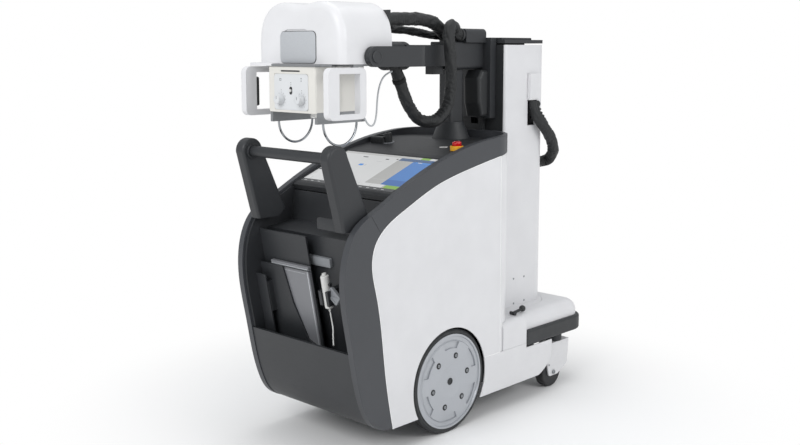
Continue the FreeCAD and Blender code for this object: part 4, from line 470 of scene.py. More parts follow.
# The control panel's polycarbonate overlay: matt, even and slightly cool.
overlay = plastic("matt polycarbonate overlay", "d8dadc", 0.48, 0.0009, 0.00002, 0.05)
switch_shell = plastic("light grey ABS, silk mould", "d2d2d0", 0.38, 0.0012, 0.00003)
detector_skin = plastic("grey satin enamel on magnesium", "7a7b7f", 0.36, 0.0016, 0.00004, 0.14)
red_cap = plastic("red gloss polyamide", "c8101a", 0.22, 0.004, 0.00002, 0.05, 0.0, 0.3)
yellow_ring = plastic("yellow satin polyamide", "f0b01c", 0.38, 0.0015, 0.00003)
cable_skin = plastic("light grey PVC jacket", "b9bcbf", 0.42, 0.0016, 0.00003)
# The panel lip's white is lighter and glossier than the panel paint: a painted highlight.
lip_painted_highlight = plastic("white paint lightened as painted highlight on the panel lip", "f4f4f4", 0.22, 0.0030, 0.00001, 0.05, 0.0, 0.4)
grey_print = plastic("grey screen print", "707478", 0.50, 0.0010, 0.00001)
white_mark = plastic("white screen print", "d4d6d8", 0.50, 0.0010, 0.00001)
grey_block = plastic("mid grey ABS, silk mould", "84878b", 0.42, 0.0012, 0.00004)
white_cord = plastic("white PVC jacket", "dcdcda", 0.40, 0.0016, 0.00003)

# %% [markdown]
# Metal parts have finishes of their own: powder coat on the chassis, silver lacquer on the wheels,
# brushed aluminium on plates and rails, and chrome on the two wire bails. Brushing is drawn with a
# noise stretched along one axis, which also breaks up the reflection as real brushing does.


# %% Metals
def metal(name, colour, metallic, rough, stretch, size, height, rub=0.1, coat=0.0):
    """A metal or lacquer: stretch is how much longer its marks are along X, Y and Z."""
    made, tree, output = bare(name)
    place = add(tree, "TexCoord").outputs["Object"]
    turned = add(tree, "Mapping", {"Vector": place, "Scale": tuple(1 / s for s in stretch)})
    fine = add(tree, "TexNoise", {"Vector": turned.outputs[0], "Scale": 1 / size, "Detail": 4.0,
                                  "Roughness": 0.6})
    broad = add(tree, "TexNoise", {"Vector": place, "Scale": 16.0, "Detail": 4.0, "Roughness": 0.65})
    base = linear(colour)
    tint = add(tree, "Mix", {0: fine.outputs["Fac"], 6: toned(base, 0.86), 7: toned(base, 1.10)},
               data_type="RGBA")
    roughness = add(tree, "MapRange", {"Value": broad.outputs["Fac"], "From Min": 0.3, "From Max": 0.7,
                                       "To Min": rough, "To Max": rough + rub})
    bump = add(tree, "Bump", {"Height": fine.outputs["Fac"], "Strength": 1.0, "Distance": height})
    skin = add(tree, "BsdfPrincipled", {"Base Color": tint.outputs[2], "Normal": bump.outputs[0],
                                        "Roughness": roughness.outputs["Result"]})
    skin.inputs["Metallic"].default_value = metallic
    skin.inputs["Coat Weight"].default_value = coat
    tree.links.new(skin.outputs[0], output.inputs["Surface"])
    return made


powder = metal("black powder coated steel", "2b2d30", 0.0, 0.52, (1, 1, 1), 0.0012, 0.00012)
grey_lacquer = metal("grey lacquered aluminium", "8f9193", 0.55, 0.36, (6, 1, 1), 0.0012, 0.00002)
brushed = metal("brushed aluminium", "b4b7ba", 1.0, 0.30, (1, 9, 1), 0.0010, 0.00002)
silver = metal("silver lacquered alloy disc", "b2b5ba", 0.45, 0.30, (1, 1, 1), 0.0009, 0.00001, 0.08, 0.25)
chrome = metal("chromed steel wire", "a4a7ab", 1.0, 0.06, (1, 1, 1), 0.006, 0.00001, 0.04)
silver_plate = metal("silver brushed plate", "c3c6ca", 0.35, 0.34, (9, 1, 1), 0.0010, 0.00002)
steel = metal("zinc plated screw steel", "9a9da0", 1.0, 0.28, (1, 1, 1), 0.002, 0.00002)

# %% [markdown]
# The sleeves are a plain weave of black polyester. Threads are about 0.5 mm apart on the real cloth,
# which no render of the whole machine can show, so the weave is drawn at 1.6 mm. It follows the
# sleeve's own UV map, so that threads run along and around the tube, as they do on a sewn sleeve.

# %% Woven sleeve
THREAD = 0.0016  # from thread to thread; at scale 1 a wave texture repeats every 0.31 m
woven, tree, output = bare("black woven polyester")
cloth = add(tree, "UVMap", uv_map="cloth").outputs[0]
warp, weft = (add(tree, "TexWave", {"Vector": cloth, "Scale": 0.31 / THREAD, "Distortion": 0.6, "Detail": 1.0},
                  bands_direction=axis) for axis in "XY")
thread = add(tree, "Math", {0: warp.outputs["Fac"], 1: weft.outputs["Fac"]}, operation="MAXIMUM")
crease = add(tree, "TexNoise", {"Vector": cloth, "Scale": 38.0, "Detail": 5.0, "Roughness": 0.7})
lint = add(tree, "Math", {0: thread.outputs[0], 1: crease.outputs["Fac"]}, operation="MULTIPLY")
colour = add(tree, "Mix", {0: lint.outputs[0], 6: linear("121415"), 7: linear("26282a")}, data_type="RGBA")
weave_bump = add(tree, "Bump", {"Height": thread.outputs[0], "Strength": 0.4, "Distance": 0.00012})
crease_bump = add(tree, "Bump", {"Height": crease.outputs["Fac"], "Strength": 0.8, "Distance": 0.0034,
                                 "Normal": weave_bump.outputs[0]})
skin = add(tree, "BsdfPrincipled", {"Base Color": colour.outputs[2], "Roughness": 0.58,
                                    "Normal": crease_bump.outputs[0], "Sheen Weight": 0.03,
                                    "Sheen Roughness": 0.5})
tree.links.new(skin.outputs[0], output.inputs["Surface"])
for part in [p for name in sleeves for p, _ in sleeves[name]] + [rear_sleeve]:
    part.data.materials.append(woven)
lead.data.materials.append(cable_skin)
switch_cord.data.materials.append(white_cord)


# %% [markdown]
# Rubber is duller than plastic and takes dust in its pores. The tyres are solid, turned smooth, with
# fine lines round the tread from the mould.

# %% Rubber
def rubber(name, colour, rough, ring_axis=None, dust=0.10):
    made, tree, output = bare(name)
    place = add(tree, "TexCoord").outputs["Object"]
    pores = add(tree, "TexNoise", {"Vector": place, "Scale": 900.0, "Detail": 2.0})
    patches = add(tree, "TexNoise", {"Vector": place, "Scale": 22.0, "Detail": 5.0, "Roughness": 0.7})
    dusty = add(tree, "MapRange", {"Value": patches.outputs["Fac"], "From Min": 0.45, "From Max": 0.8,
                                   "To Max": dust})
    tint = add(tree, "Mix", {0: dusty.outputs["Result"], 6: linear(colour), 7: linear("8b8780")},
               data_type="RGBA")
    bump = add(tree, "Bump", {"Height": pores.outputs["Fac"], "Strength": 1.0, "Distance": 0.00006})
    last = bump.outputs[0]
    if ring_axis is not None:
        across = add(tree, "SeparateXYZ", {0: place}).outputs[ring_axis]
        lines = add(tree, "Math", {0: across, 1: 2 * math.pi / 0.004}, operation="MULTIPLY")
        lines = add(tree, "Math", {0: lines.outputs[0]}, operation="SINE")
        last = add(tree, "Bump", {"Height": lines.outputs[0], "Strength": 0.5, "Distance": 0.0002,
                                  "Normal": last}).outputs[0]
    skin = add(tree, "BsdfPrincipled", {"Base Color": tint.outputs[2], "Roughness": rough, "Normal": last})
    skin.inputs["Specular IOR Level"].default_value = 0.4
    tree.links.new(skin.outputs[0], output.inputs["Surface"])
    return made


tyre = rubber("solid tyre rubber", "2c2e30", 0.62, ring_axis=0)
strap_cloth = rubber("black hook and loop strap", "191a1b", 0.85, dust=0.03)
dark_seam = rubber("black foam seal", "1c1d1e", 0.8, dust=0.02)
grey_rubber = rubber("grey moulded rubber", "8b8e91", 0.6, dust=0.04)
bumper_rubber = rubber("bumper EPDM rubber", "303234", 0.50, dust=0.05)
castor_rubber = rubber("castor tread rubber", "2a2b2d", 0.55, ring_axis=0)

# %% [markdown]
# Every CAD node keeps its shape and gets its finish through its own material slots, by name.

# %% Finish of every CAD node
FINISHES = {
    # console_top takes the charcoal made darker, as painted shade.
    shaded_deck_charcoal: ["console_top"],
    charcoal: ["front_cover", "bin_tray", "bin_guides", "handle_paddles", "handle_bar", "rest_post",
               "mast", "carriage", "arm_outer", "arm_middle", "arm_inner", "fork"],
    band: ["side_bands"],
    white_paint: ["side_panels", "side_skirts", "base_cover", "column_cover", "cable_hood",
                  "castor_fork_right", "castor_fork_left"],
    white_shell: ["head_housing", "head_grips"],
    warm_shell: ["collimator_housing"],
    overlay: ["collimator_panel", "collimator_knob_right", "collimator_knob_left"],
    nylon: ["reader_holder", "brake_pedal", "column_front", "cable_guide", "head_rear_cover",
            "display_panel"],
    powder: ["base_frame", "power_modules", "column_frame"],
    grey_lacquer: ["head_plate", "accessory_rails"],
    brushed: ["drive_motors", "xray_tube"],
    silver: ["drive_rim_right", "drive_rim_left"],
    chrome: ["wire_loops"],
    tyre: ["drive_tyre_right", "drive_tyre_left"],
    castor_rubber: ["castor_wheel_right", "castor_wheel_left"],
    bumper_rubber: ["bumper"],
    detector_skin: ["detector"],
    switch_shell: ["hand_switch", "hand_switch_button", "lamp_button"],
    red_cap: ["estop_button"],
    yellow_ring: ["estop_base"],
}
covered = set()
for finish, names in FINISHES.items():
    for name in names:
        for space in nodes[name].material_slots:
            space.material = finish
        covered.add(name)
print("nodes with a finish:", len(covered), "left:", sorted(set(nodes) - covered))

# %% [markdown]
# The small fittings are modelled the way their tools make them: a blank is cut to size, its corners
# are rounded, its rim is softened, and where needed its face is let in and pushed down. Some are
# seated on the CAD surface that carries them, found by a straight line from outside, so that they
# don't float; the others are put at given places or by the edges of a node's box.


# %% Modelling helpers
def start(kind, **where):
    """A new primitive, alone in the selection and active."""
    bpy.ops.object.select_all(action="DESELECT")
    getattr(bpy.ops.mesh, "primitive_%s_add" % kind)(**where)
    return bpy.context.object


def choose(test, kind="FACE"):
    """In edit mode, select the faces or edges whose middle and direction pass a test."""
    bpy.ops.mesh.select_mode(type=kind)
    bpy.ops.mesh.select_all(action="DESELECT")
    shape = bmesh.from_edit_mesh(bpy.context.object.data)
    for face in shape.faces if kind == "FACE" else ():
        face.select_set(bool(test(face.calc_center_median(), face.normal)))
    for edge in shape.edges if kind == "EDGE" else ():
        a, b = (v.co for v in edge.verts)
        edge.select_set(bool(test((a + b) / 2, (b - a).normalized())))
    bmesh.update_edit_mesh(bpy.context.object.data)


def slab(width, length, height, corner, rim=0.0, steps=4):
    """A flat blank on its own XY plane, standing up along Z, with round corners and a soft upper rim."""
    piece = start("cube", size=1, location=(0, 0, height / 2), scale=(width, length, height))
    bpy.ops.object.transform_apply(location=True, rotation=True, scale=True)
    bpy.ops.object.mode_set(mode="EDIT")
    choose(lambda middle, along: abs(along.z) > 0.9, "EDGE")
    bpy.ops.mesh.bevel(offset=corner, segments=steps, affect="EDGES")
    if rim:
        choose(lambda middle, normal: normal.z > 0.9)
        bpy.ops.mesh.region_to_loop()
        bpy.ops.mesh.bevel(offset=rim, segments=2, affect="EDGES")
    bpy.ops.object.mode_set(mode="OBJECT")
    return piece


def disc(radius, height, rim, sides=40):
    """A round blank with a soft upper rim."""
    piece = start("cylinder", vertices=sides, radius=radius, depth=height, location=(0, 0, height / 2))
    bpy.ops.object.transform_apply(location=True, rotation=True, scale=True)
    bpy.ops.object.mode_set(mode="EDIT")
    choose(lambda middle, normal: normal.z > 0.9)
    bpy.ops.mesh.region_to_loop()
    bpy.ops.mesh.bevel(offset=rim, segments=3, affect="EDGES")
    bpy.ops.object.mode_set(mode="OBJECT")
    return piece


def let_in(piece, margin, depth):
    """Push the middle of a blank's upper face down, leaving a rim as wide as the margin."""
    bpy.ops.object.mode_set(mode="EDIT")
    top = max(v.co.z for v in piece.data.vertices)
    choose(lambda middle, normal: normal.z > 0.9 and middle.z > top - 1e-5)
    bpy.ops.mesh.inset(thickness=margin)
    bpy.ops.mesh.extrude_region_move(TRANSFORM_OT_translate={"value": (0, 0, -depth)})
    bpy.ops.object.mode_set(mode="OBJECT")
    return piece


def seat(piece, centre, normal, across=None):
    """Turn a piece so that its own Z lies along a normal and its X along a direction, and put it there."""
    up = Vector(normal).normalized()
    side = Vector(across) if across else up.orthogonal()
    side = (side - up * side.dot(up)).normalized()
    turn = Matrix((side, up.cross(side), up)).transposed()
    piece.matrix_world = Matrix.Translation(centre) @ turn.to_4x4()
    return piece


def touch(node, place, heading):
    """Where a straight line from a place first meets a CAD node, and which way the surface faces there."""
    found, point, normal, _ = nodes[node].ray_cast(Vector(place), Vector(heading).normalized())
    assert found, "no %s from %s" % (node, place)
    return point, normal


def join(pieces):
    bpy.ops.object.select_all(action="DESELECT")
    for piece in pieces:
        piece.select_set(True)
    bpy.context.view_layer.objects.active = pieces[0]
    bpy.ops.object.join()
    return pieces[0]


def finished(piece, name, finish, body, smooth=35):
    """Apply a piece's place, smooth it, and give it its name, finish and body."""
    bpy.ops.object.select_all(action="DESELECT")
    piece.select_set(True)
    bpy.context.view_layer.objects.active = piece
    bpy.ops.object.transform_apply(location=True, rotation=True, scale=True)
    bpy.ops.object.shade_smooth_by_angle(angle=math.radians(smooth))
    piece.name = piece.data.name = name
    if finish:
        piece.data.materials.clear()
        piece.data.materials.append(finish)
    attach(piece, body)
    made_pieces.append(name)
    return piece


made_pieces = []
SIDES = (("right", 1), ("left", -1))

# %% [markdown]
# The display shows a generic exposure screen: a pale work area, a grey column, a blue patient panel,
# a row of buttons in front and a dark strip of soft keys. It is one sheet just over the glass, cut
# into cells along straight lines, with a lit material for each colour. No words are shown, only
# short bars where a real screen has text.


# %% Lit screen colours
def lit(name, colour, strength):
    """A screen colour that glows a little under glossy glass."""
    made, tree, output = bare(name)
    place = add(tree, "TexCoord").outputs["Object"]
    haze = add(tree, "TexNoise", {"Vector": place, "Scale": 22.0, "Detail": 2.0})
    base = linear(colour)
    tone = add(tree, "Mix", {0: haze.outputs["Fac"], 6: toned(base, 0.94), 7: base}, data_type="RGBA")
    skin = add(tree, "BsdfPrincipled", {"Base Color": toned(base, 0.4), "Roughness": 0.12,
                                        "Emission Color": tone.outputs[2], "Emission Strength": strength})
    tree.links.new(skin.outputs[0], output.inputs["Surface"])
    return made


SCREEN_COLOURS = {key: lit("lit screen, " + words, colour, strength) for key, words, colour, strength in (
    ("white", "work area", "d8d9d9", 0.56), ("head", "header", "c6c6c4", 0.54),
    ("grey", "grey column", "b4b4b2", 0.54), ("blue", "blue panel", "477ec2", 0.55),
    ("deep", "deep blue", "3765a6", 0.62), ("slate", "slate strip", "435f86", 0.6),
    ("green", "green button", "7ea844", 0.62), ("keys", "soft key strip", "47484a", 0.45),
    ("ink", "dark marks", "4a4d52", 0.4), ("spot", "blue mark", "3f7fc4", 0.8),
    ("pale", "pale marks", "b9babb", 0.7))}

# %% [markdown]
# The picture lies on the glass, which leans back by 20.6 degrees. Its cells are cut at the same
# distances that the colour rule below uses.

# %% Display picture
SCREEN_LEAN = math.radians(20.6)
screen_up = Vector((0, math.cos(SCREEN_LEAN), math.sin(SCREEN_LEAN)))
screen_out = Vector((0, -math.sin(SCREEN_LEAN), math.cos(SCREEN_LEAN)))
glass_low, glass_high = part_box("display_panel")
glass_length = (glass_high.y - glass_low.y - 0.0037 * math.sin(SCREEN_LEAN)) / math.cos(SCREEN_LEAN)
glass_middle, _ = touch("display_panel", (0, (glass_low.y + glass_high.y) / 2, 1.5), (0, 0, -1))
edge_gap = 0.004
wide, tall = 2 * (glass_high.x - edge_gap), glass_length - 2 * edge_gap


def on_screen(across, up, lift=0.00012):
    """A place on the glass from its distance across from the middle and up from the front edge."""
    return glass_middle + Vector((across, 0, 0)) + screen_up * (up - glass_length / 2) + screen_out * lift


def screen_cell(across, up):
    """Which colour a place on the picture has; distances are in metres."""
    if up < 0.023:
        return "keys"
    if up < 0.045:
        return "green" if across > 0.171 else ("grey" if across > 0.163 else "white")
    if up > 0.247:
        return "green" if 0.156 < across < 0.198 else ("white" if across > 0.205 else "head")
    if across > 0.068 and up > 0.226:
        return "slate"
    if across > 0.141:
        return "deep" if up < 0.084 else ("spot" if up > 0.219 and across > 0.155 else "blue")
    if across > 0.064:
        return "grey"
    return "white"


picture = start("plane", size=1)
picture.scale = (wide, tall, 1)
bpy.ops.object.transform_apply(location=True, rotation=True, scale=True)
bpy.ops.object.mode_set(mode="EDIT")
for cut in (0.064, 0.068, 0.141, 0.155, 0.156, 0.163, 0.171, 0.198, 0.205):
    bpy.ops.mesh.select_all(action="SELECT")
    bpy.ops.mesh.bisect(plane_co=(cut, 0, 0), plane_no=(1, 0, 0))
for cut in (0.023, 0.045, 0.084, 0.219, 0.226, 0.247):
    bpy.ops.mesh.select_all(action="SELECT")
    bpy.ops.mesh.bisect(plane_co=(0, cut - glass_length / 2, 0), plane_no=(0, 1, 0))
bpy.ops.object.mode_set(mode="OBJECT")
colours = list(SCREEN_COLOURS)
for colour in colours:
    picture.data.materials.append(SCREEN_COLOURS[colour])
for face in picture.data.polygons:
    face.material_index = colours.index(screen_cell(face.center.x, face.center.y + glass_length / 2))
seat(picture, on_screen(0, glass_length / 2), screen_out, (1, 0, 0))
finished(picture, "display_picture", None, "chassis")
print("display picture", round(wide, 3), "by", round(tall, 3), "m in", len(picture.data.polygons), "cells")


# %% [markdown]
# Short bars and dots stand where the real screen has words and icons.

# %% Marks on the display
def mark(across, up, width, height, colour):
    """A short bar or a dot on the picture."""
    bar = slab(width, height, 0.0001, min(width, height) * 0.3, 0, 2)
    bar.data.materials.append(SCREEN_COLOURS[colour])
    return seat(bar, on_screen(across, up, 0.00014), screen_out, (1, 0, 0))


bars = [mark(-0.104, 0.2295, 0.026, 0.006, "ink"), mark(-0.092, 0.2215, 0.020, 0.003, "pale"),
        mark(0.010, 0.2265, 0.016, 0.006, "ink"), mark(-0.012, 0.2045, 0.026, 0.003, "pale"),
        mark(-0.072, 0.1684, 0.022, 0.014, "spot"), mark(-0.050, 0.1684, 0.008, 0.012, "pale"),
        mark(-0.226, 0.104, 0.016, 0.007, "ink"), mark(-0.222, 0.0736, 0.020, 0.003, "pale"),
        mark(0.055, 0.234, 0.008, 0.008, "ink"), mark(0.176, 0.2225, 0.020, 0.004, "white"),
        mark(0.100, 0.0795, 0.070, 0.0012, "pale")]
for k in range(12):
    bars.append(mark(-0.214 + 0.036 * k, 0.0125, 0.014, 0.0028, "pale"))
for k in range(5):
    bars.append(mark(-0.205 + 0.052 * k, 0.2575, 0.030, 0.003, "pale"))
for k in range(6):
    bars.append(mark(-0.205 + 0.062 * k, 0.034, 0.0016, 0.020, "grey"))
finished(join(bars), "display_marks", None, "chassis")

# %% [markdown]
# The head's front carries a plain silver plate with round upper corners, left bare here. Below it the
# collimator has a soft keypad with a dark lamp key, two knobs inside printed scales, and a black slot
# for a field light card. Printed marks are thin films, so they stand only a tenth of a millimetre up.

# %% Front plate on the head
plate_width, plate_height = 0.178, 0.104
plate_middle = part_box("head_housing")[0].z + 0.003 + plate_height / 2
top_spot, _ = touch("head_housing", (0.088, -1.0, plate_middle + plate_height * 0.4), (0, 1, 0))
low_spot, _ = touch("head_housing", (0.088, -1.0, plate_middle - plate_height * 0.4), (0, 1, 0))
face_out = Vector((1, 0, 0)).cross(top_spot - low_spot)
face_middle = (top_spot + low_spot) / 2 - Vector((0.088, 0, 0))
seam = slab(plate_width + 0.0026, plate_height + 0.0026, 0.0016, 0.0183, 0, 6)
seat(seam, face_middle, face_out, (1, 0, 0))
finished(seam, "head_plate_seam", dark_seam, "head")
plate = slab(plate_width, plate_height, 0.0034, 0.017, 0.0010, 6)
seat(plate, face_middle, face_out, (1, 0, 0))
finished(plate, "head_plate_silver", silver_plate, "head")
print("head plate: face leans", [round(v, 3) for v in face_out.normalized()])

# %% [markdown]
# The keypad's films, the ticks round both knobs and the knobs' caps are seated on the front panel.

# %% Keypad and scales on the collimator
panel_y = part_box("collimator_panel")[0].y


def on_panel(piece, across, height, lift=0.0):
    """Seat a piece on the collimator's front panel."""
    return seat(piece, (across, panel_y - lift, height), (0, -1, 0), (1, 0, 0))


button_low, button_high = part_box("lamp_button")
button_x, button_z = (button_low.x + button_high.x) / 2, (button_low.z + button_high.z) / 2
key = let_in(slab(0.013, 0.026, 0.0014, 0.006, 0.0005, 6), 0.0016, 0.0005)
finished(on_panel(key, button_x, button_z), "lamp_key", nylon, "collimator")
films = []
for name in ("collimator_knob_left", "collimator_knob_right"):
    low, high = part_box(name)
    knob_x, knob_z = (low.x + high.x) / 2, (low.z + high.z) / 2
    for k in range(11):
        angle = math.radians(-60 + 30 * k)
        reach = 0.0225 if k % 5 else 0.0235
        tick = slab(0.0042 if k % 5 else 0.006, 0.0009, 0.0001, 0.0002, 0, 1)
        place = Vector((knob_x + reach * math.cos(angle), panel_y, knob_z + reach * math.sin(angle)))
        films.append(seat(tick, place, (0, -1, 0), (math.cos(angle), 0, math.sin(angle))))
    dot = disc(0.0014, 0.0001, 0.00003, 16)
    films.append(on_panel(dot, knob_x, knob_z + 0.031))
PANEL_MARKS = ((-0.054, 1.283, 0.010, 0.0016), (-0.058, 1.280, 0.0016, 0.007), (-0.050, 1.280, 0.0016, 0.007),
               (-0.054, 1.277, 0.010, 0.0016), (0.052, 1.2845, 0.004, 0.004), (0.052, 1.2765, 0.004, 0.004),
               (0.0, 1.270, 0.003, 0.003), (0.0, 1.263, 0.003, 0.003))
for across, up, width, height in PANEL_MARKS:
    films.append(on_panel(slab(width, height, 0.0001, 0.0004, 0, 1), across, up))
finished(join(films), "collimator_scales", grey_print, "collimator")
for name, side in (("collimator_knob_left", "left"), ("collimator_knob_right", "right")):
    low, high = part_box(name)
    cap = let_in(disc(0.0135, 0.0012, 0.0004, 48), 0.0022, 0.0004)
    seat(cap, ((low.x + high.x) / 2, low.y + 0.0002, (low.z + high.z) / 2), (0, -1, 0), (1, 0, 0))
    line = slab(0.0016, 0.010, 0.0006, 0.0006, 0.0002, 2)
    seat(line, ((low.x + high.x) / 2, low.y - 0.0008, (low.z + high.z) / 2 + 0.006), (0, -1, 0), (1, 0, 0))
    finished(cap, "knob_cap_" + side, overlay, "knob_" + side)
    finished(line, "knob_pointer_" + side, grey_print, "knob_" + side)

# %% [markdown]
# A black slot for the light card, the tray rails' latch, two grey strips along the plate above the
# collimator and a screw in it complete the front.

# %% Latch, card slot and plate trims
slot_pad = slab(0.0955, 0.0048, 0.0006, 0.0012, 0, 3)
seat(slot_pad, (-0.004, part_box("collimator_housing")[0].y + 0.0012, 1.3085), (0, -1, 0), (1, 0, 0))
finished(slot_pad, "card_slot_floor", nylon, "collimator")
rail_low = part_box("accessory_rails")[0]
latch = let_in(slab(0.026, 0.013, 0.010, 0.002, 0.0012), 0.004, 0.0015)
seat(latch, (0.104, rail_low.y + 0.006, 1.1640), (0, -1, 0), (1, 0, 0))
finished(latch, "rail_latch", switch_shell, "collimator")
plate_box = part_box("head_plate")
for across, width, name in ((-0.142, 0.124, "left"), (0.142, 0.124, "right")):
    strip = slab(width, 0.0048, 0.0008, 0.001, 0.0003, 2)
    seat(strip, (across, plate_box[0].y, plate_box[1].z - 0.0037), (0, -1, 0), (1, 0, 0))
    finished(strip, "plate_strip_" + name, grey_lacquer, "head")
screw = let_in(disc(0.0036, 0.0024, 0.0006, 24), 0.0014, 0.0012)
seat(screw, (0.1433, plate_box[0].y - 0.0006, (plate_box[0].z + plate_box[1].z) / 2), (0, -1, 0), (1, 0, 0))
finished(screw, "plate_screw", steel, "head")

# %% [markdown]
# The left grip meets the head in a flat white shoulder, which the photo shows beside the shell.

# %% Grip shoulder
shoulder = slab(0.120, 0.125, 0.0105, 0.007, 0.003, 5)
seat(shoulder, (-0.1525, -0.5935, 1.3245), (0, 0, 1), (1, 0, 0))
finished(shoulder, "grip_shoulder", white_shell, "head")

# %% [markdown]
# Each wire bail is half a ring of bright tube over the CAD model's wire, so that it looks round.

# %% Bail tubes
for side, sign in SIDES:
    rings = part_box("wire_loops")
    bail = start("torus", major_radius=0.076, minor_radius=0.0040, major_segments=96, minor_segments=20)
    bpy.ops.object.mode_set(mode="EDIT")
    bpy.ops.mesh.select_all(action="SELECT")
    bpy.ops.mesh.bisect(plane_co=(0, 0, 0), plane_no=(0, 1, 0), use_fill=True, clear_outer=True)
    bpy.ops.object.mode_set(mode="OBJECT")
    middle = Vector((sign * (rings[1].x - 0.0026), (rings[0].y + rings[1].y) / 2, rings[0].z + 0.0786))
    seat(bail, middle, (1, 0, 0), (0, 1, 0))
    finished(bail, "bail_tube_" + side, chrome, "collimator", 60)

# %% [markdown]
# Turned flanges close the handle bar's ends against the paddles.

# %% Handle flanges
bar_low, bar_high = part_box("handle_bar")
bar_y, bar_z = (bar_low.y + bar_high.y) / 2, (bar_low.z + bar_high.z) / 2
for side, sign in SIDES:
    flange = let_in(disc(0.0275, 0.0045, 0.0018, 56), 0.004, 0.0008)
    seat(flange, (sign * (bar_high.x + 0.0004), bar_y, bar_z), (-sign, 0, 0), (0, 0, 1))
    finished(flange, "handle_flange_" + side, charcoal, "chassis")

# %% [markdown]
# The left grip has a black trigger on its inner side, and the right one a grey pad on its floor.

# %% Grip pads
trigger = slab(0.0125, 0.100, 0.0150, 0.0058, 0.0050, 6)
seat(trigger, (-0.2045, -0.6385, 1.236), (0, 1, 0), (1, 0, 0))
finished(trigger, "grip_trigger", nylon, "head")
floor_pad = let_in(slab(0.0225, 0.062, 0.0022, 0.005, 0.0008, 5), 0.002, 0.0006)
seat(floor_pad, (0.2105, -0.5992, 1.1733), (0, 0, 1), (1, 0, 0))
finished(floor_pad, "grip_pad", grey_rubber, "head")
print("head fittings:", len(made_pieces))

# %% [markdown]
# The fork's cheeks are closed by round caps over the pivot. The caps are turned, with a soft rim and
# a shallow dish, and hide the white bearing pins.

# %% Pivot caps
for side, sign in SIDES:
    cap = let_in(disc(0.0215, 0.0042, 0.0014, 56), 0.004, 0.0008)
    seat(cap, (sign * (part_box("fork")[1].x - 0.0002), -0.485, 1.356), (sign, 0, 0), (0, 0, 1))
    finished(cap, "pivot_cap_" + side, charcoal, "fork")

# %% [markdown]
# The sleeves end in collars. At the head each goes into a moulded gland with a clamped ring, and one
# strap ties the long loop below the fork. Collars and strap follow the same rings as the sleeve, so
# they sit on it wherever it bends, and move with the body there.


# %% Sleeve collars and straps
def wrap(name, frames, place, width, radius, body, finish, lip=0.0022):
    """A turned collar or strap round a sleeve at one distance along it."""
    rows = [f for f in frames if place - width / 2 <= f[1] <= place + width / 2]
    middle = rows[len(rows) // 2]
    heading = middle[2].cross(middle[3])
    ring = start("cylinder", vertices=48, radius=radius, depth=width, end_fill_type="NGON")
    bpy.ops.object.mode_set(mode="EDIT")
    choose(lambda centre, normal: abs(normal.z) > 0.9)
    bpy.ops.mesh.inset(thickness=radius * 0.16, use_individual=True)
    bpy.ops.mesh.delete(type="FACE")
    choose(lambda centre, along: (abs(abs(centre.z) - width / 2) < 1e-6
                                  and centre.xy.length > radius * 0.97), "EDGE")
    bpy.ops.mesh.bevel(offset=lip, segments=3, affect="EDGES")
    bpy.ops.object.mode_set(mode="OBJECT")
    seat(ring, middle[0], heading, middle[2])
    return finished(ring, name, finish, body, 50)


sleeve_rings = {name: ring_frames(route_line(name), STEP) for name in ("upper", "lower", "far")}
for name, radius in (("upper", 0.0262), ("lower", 0.0242), ("far", 0.0170)):
    rings = sleeve_rings[name]
    wrap(name + "_gland", rings, 0.020, 0.018, radius + 0.0012, "head", nylon)
    wrap(name + "_gland_ring", rings, 0.036, 0.006, radius + 0.0004, "head", charcoal,
         0.0014)
    end = rings[-1][1]
    wrap(name + "_boot_ring", rings, end - 0.010, 0.012, radius + 0.0014, "mast", nylon)
wrap("lower_tie", sleeve_rings["lower"], 0.180, 0.014, 0.0246, "fork", strap_cloth, 0.0012)

# %% [markdown]
# On the deck are the emergency stop with its yellow collar, the badge reader with its barrel, and a
# white key tag that lies beside the post.

# %% Deck fittings
base, up = touch("console_top", (-0.158, -0.026, 1.4), (0, 0, -1))
barrel = let_in(disc(0.0150, 0.040, 0.0030, 44), 0.004, 0.004)
seat(barrel, base - up * 0.0003, up)
finished(barrel, "reader_barrel", nylon, "chassis")
foot = disc(0.0225, 0.0035, 0.0014, 44)
seat(foot, base - up * 0.0003, up)
finished(foot, "reader_foot", grey_block, "chassis")
tag_place, tag_up = touch("console_top", (0.127, -0.028, 1.3), (0, 0, -1))
tag = let_in(slab(0.030, 0.013, 0.0030, 0.004, 0.0008, 5), 0.002, 0.0004)
seat(tag, tag_place, tag_up, (0.9, 0.35, 0))
finished(tag, "key_tag", switch_shell, "chassis")
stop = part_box("estop_button")
stop_middle = (stop[0] + stop[1]) / 2
cup_place = Vector((stop_middle.x, stop_middle.y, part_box("estop_base")[1].z - 0.0150))
cup = let_in(disc(0.0245, 0.0178, 0.0012, 56), 0.0022, 0.0166)
seat(cup, cup_place, (0, 0, 1))
finished(cup, "stop_collar", yellow_ring, "chassis")
crown, crown_up = touch("estop_button", (stop_middle.x, stop_middle.y, 1.3), (0, 0, -1))
arrows = []
for k in range(3):
    angle = math.radians(120 * k + 30)
    arrow = slab(0.0080, 0.0018, 0.0003, 0.0006, 0, 2)
    turn = Matrix.Rotation(angle, 3, crown_up)
    out = turn @ crown_up.orthogonal().normalized()
    place = crown + out * 0.0105
    hit, lean = touch("estop_button", place + crown_up * 0.03, -crown_up)
    arrows.append(seat(arrow, hit, lean, crown_up.cross(out)))
finished(join(arrows), "stop_arrows", white_mark, "stop_button")

# %% [markdown]
# The bin in front holds the flat detector, which has a thin bright bezel along its top and right
# edges and a fine line below the top one.

# %% Detector bezel
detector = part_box("detector")
_, front_out = touch("detector", ((detector[0].x + detector[1].x) / 2, -0.9, 0.60), (0, 1, 0))


def on_detector(across, height):
    hit, _ = touch("detector", (across, -0.9, height), (0, 1, 0))
    return hit


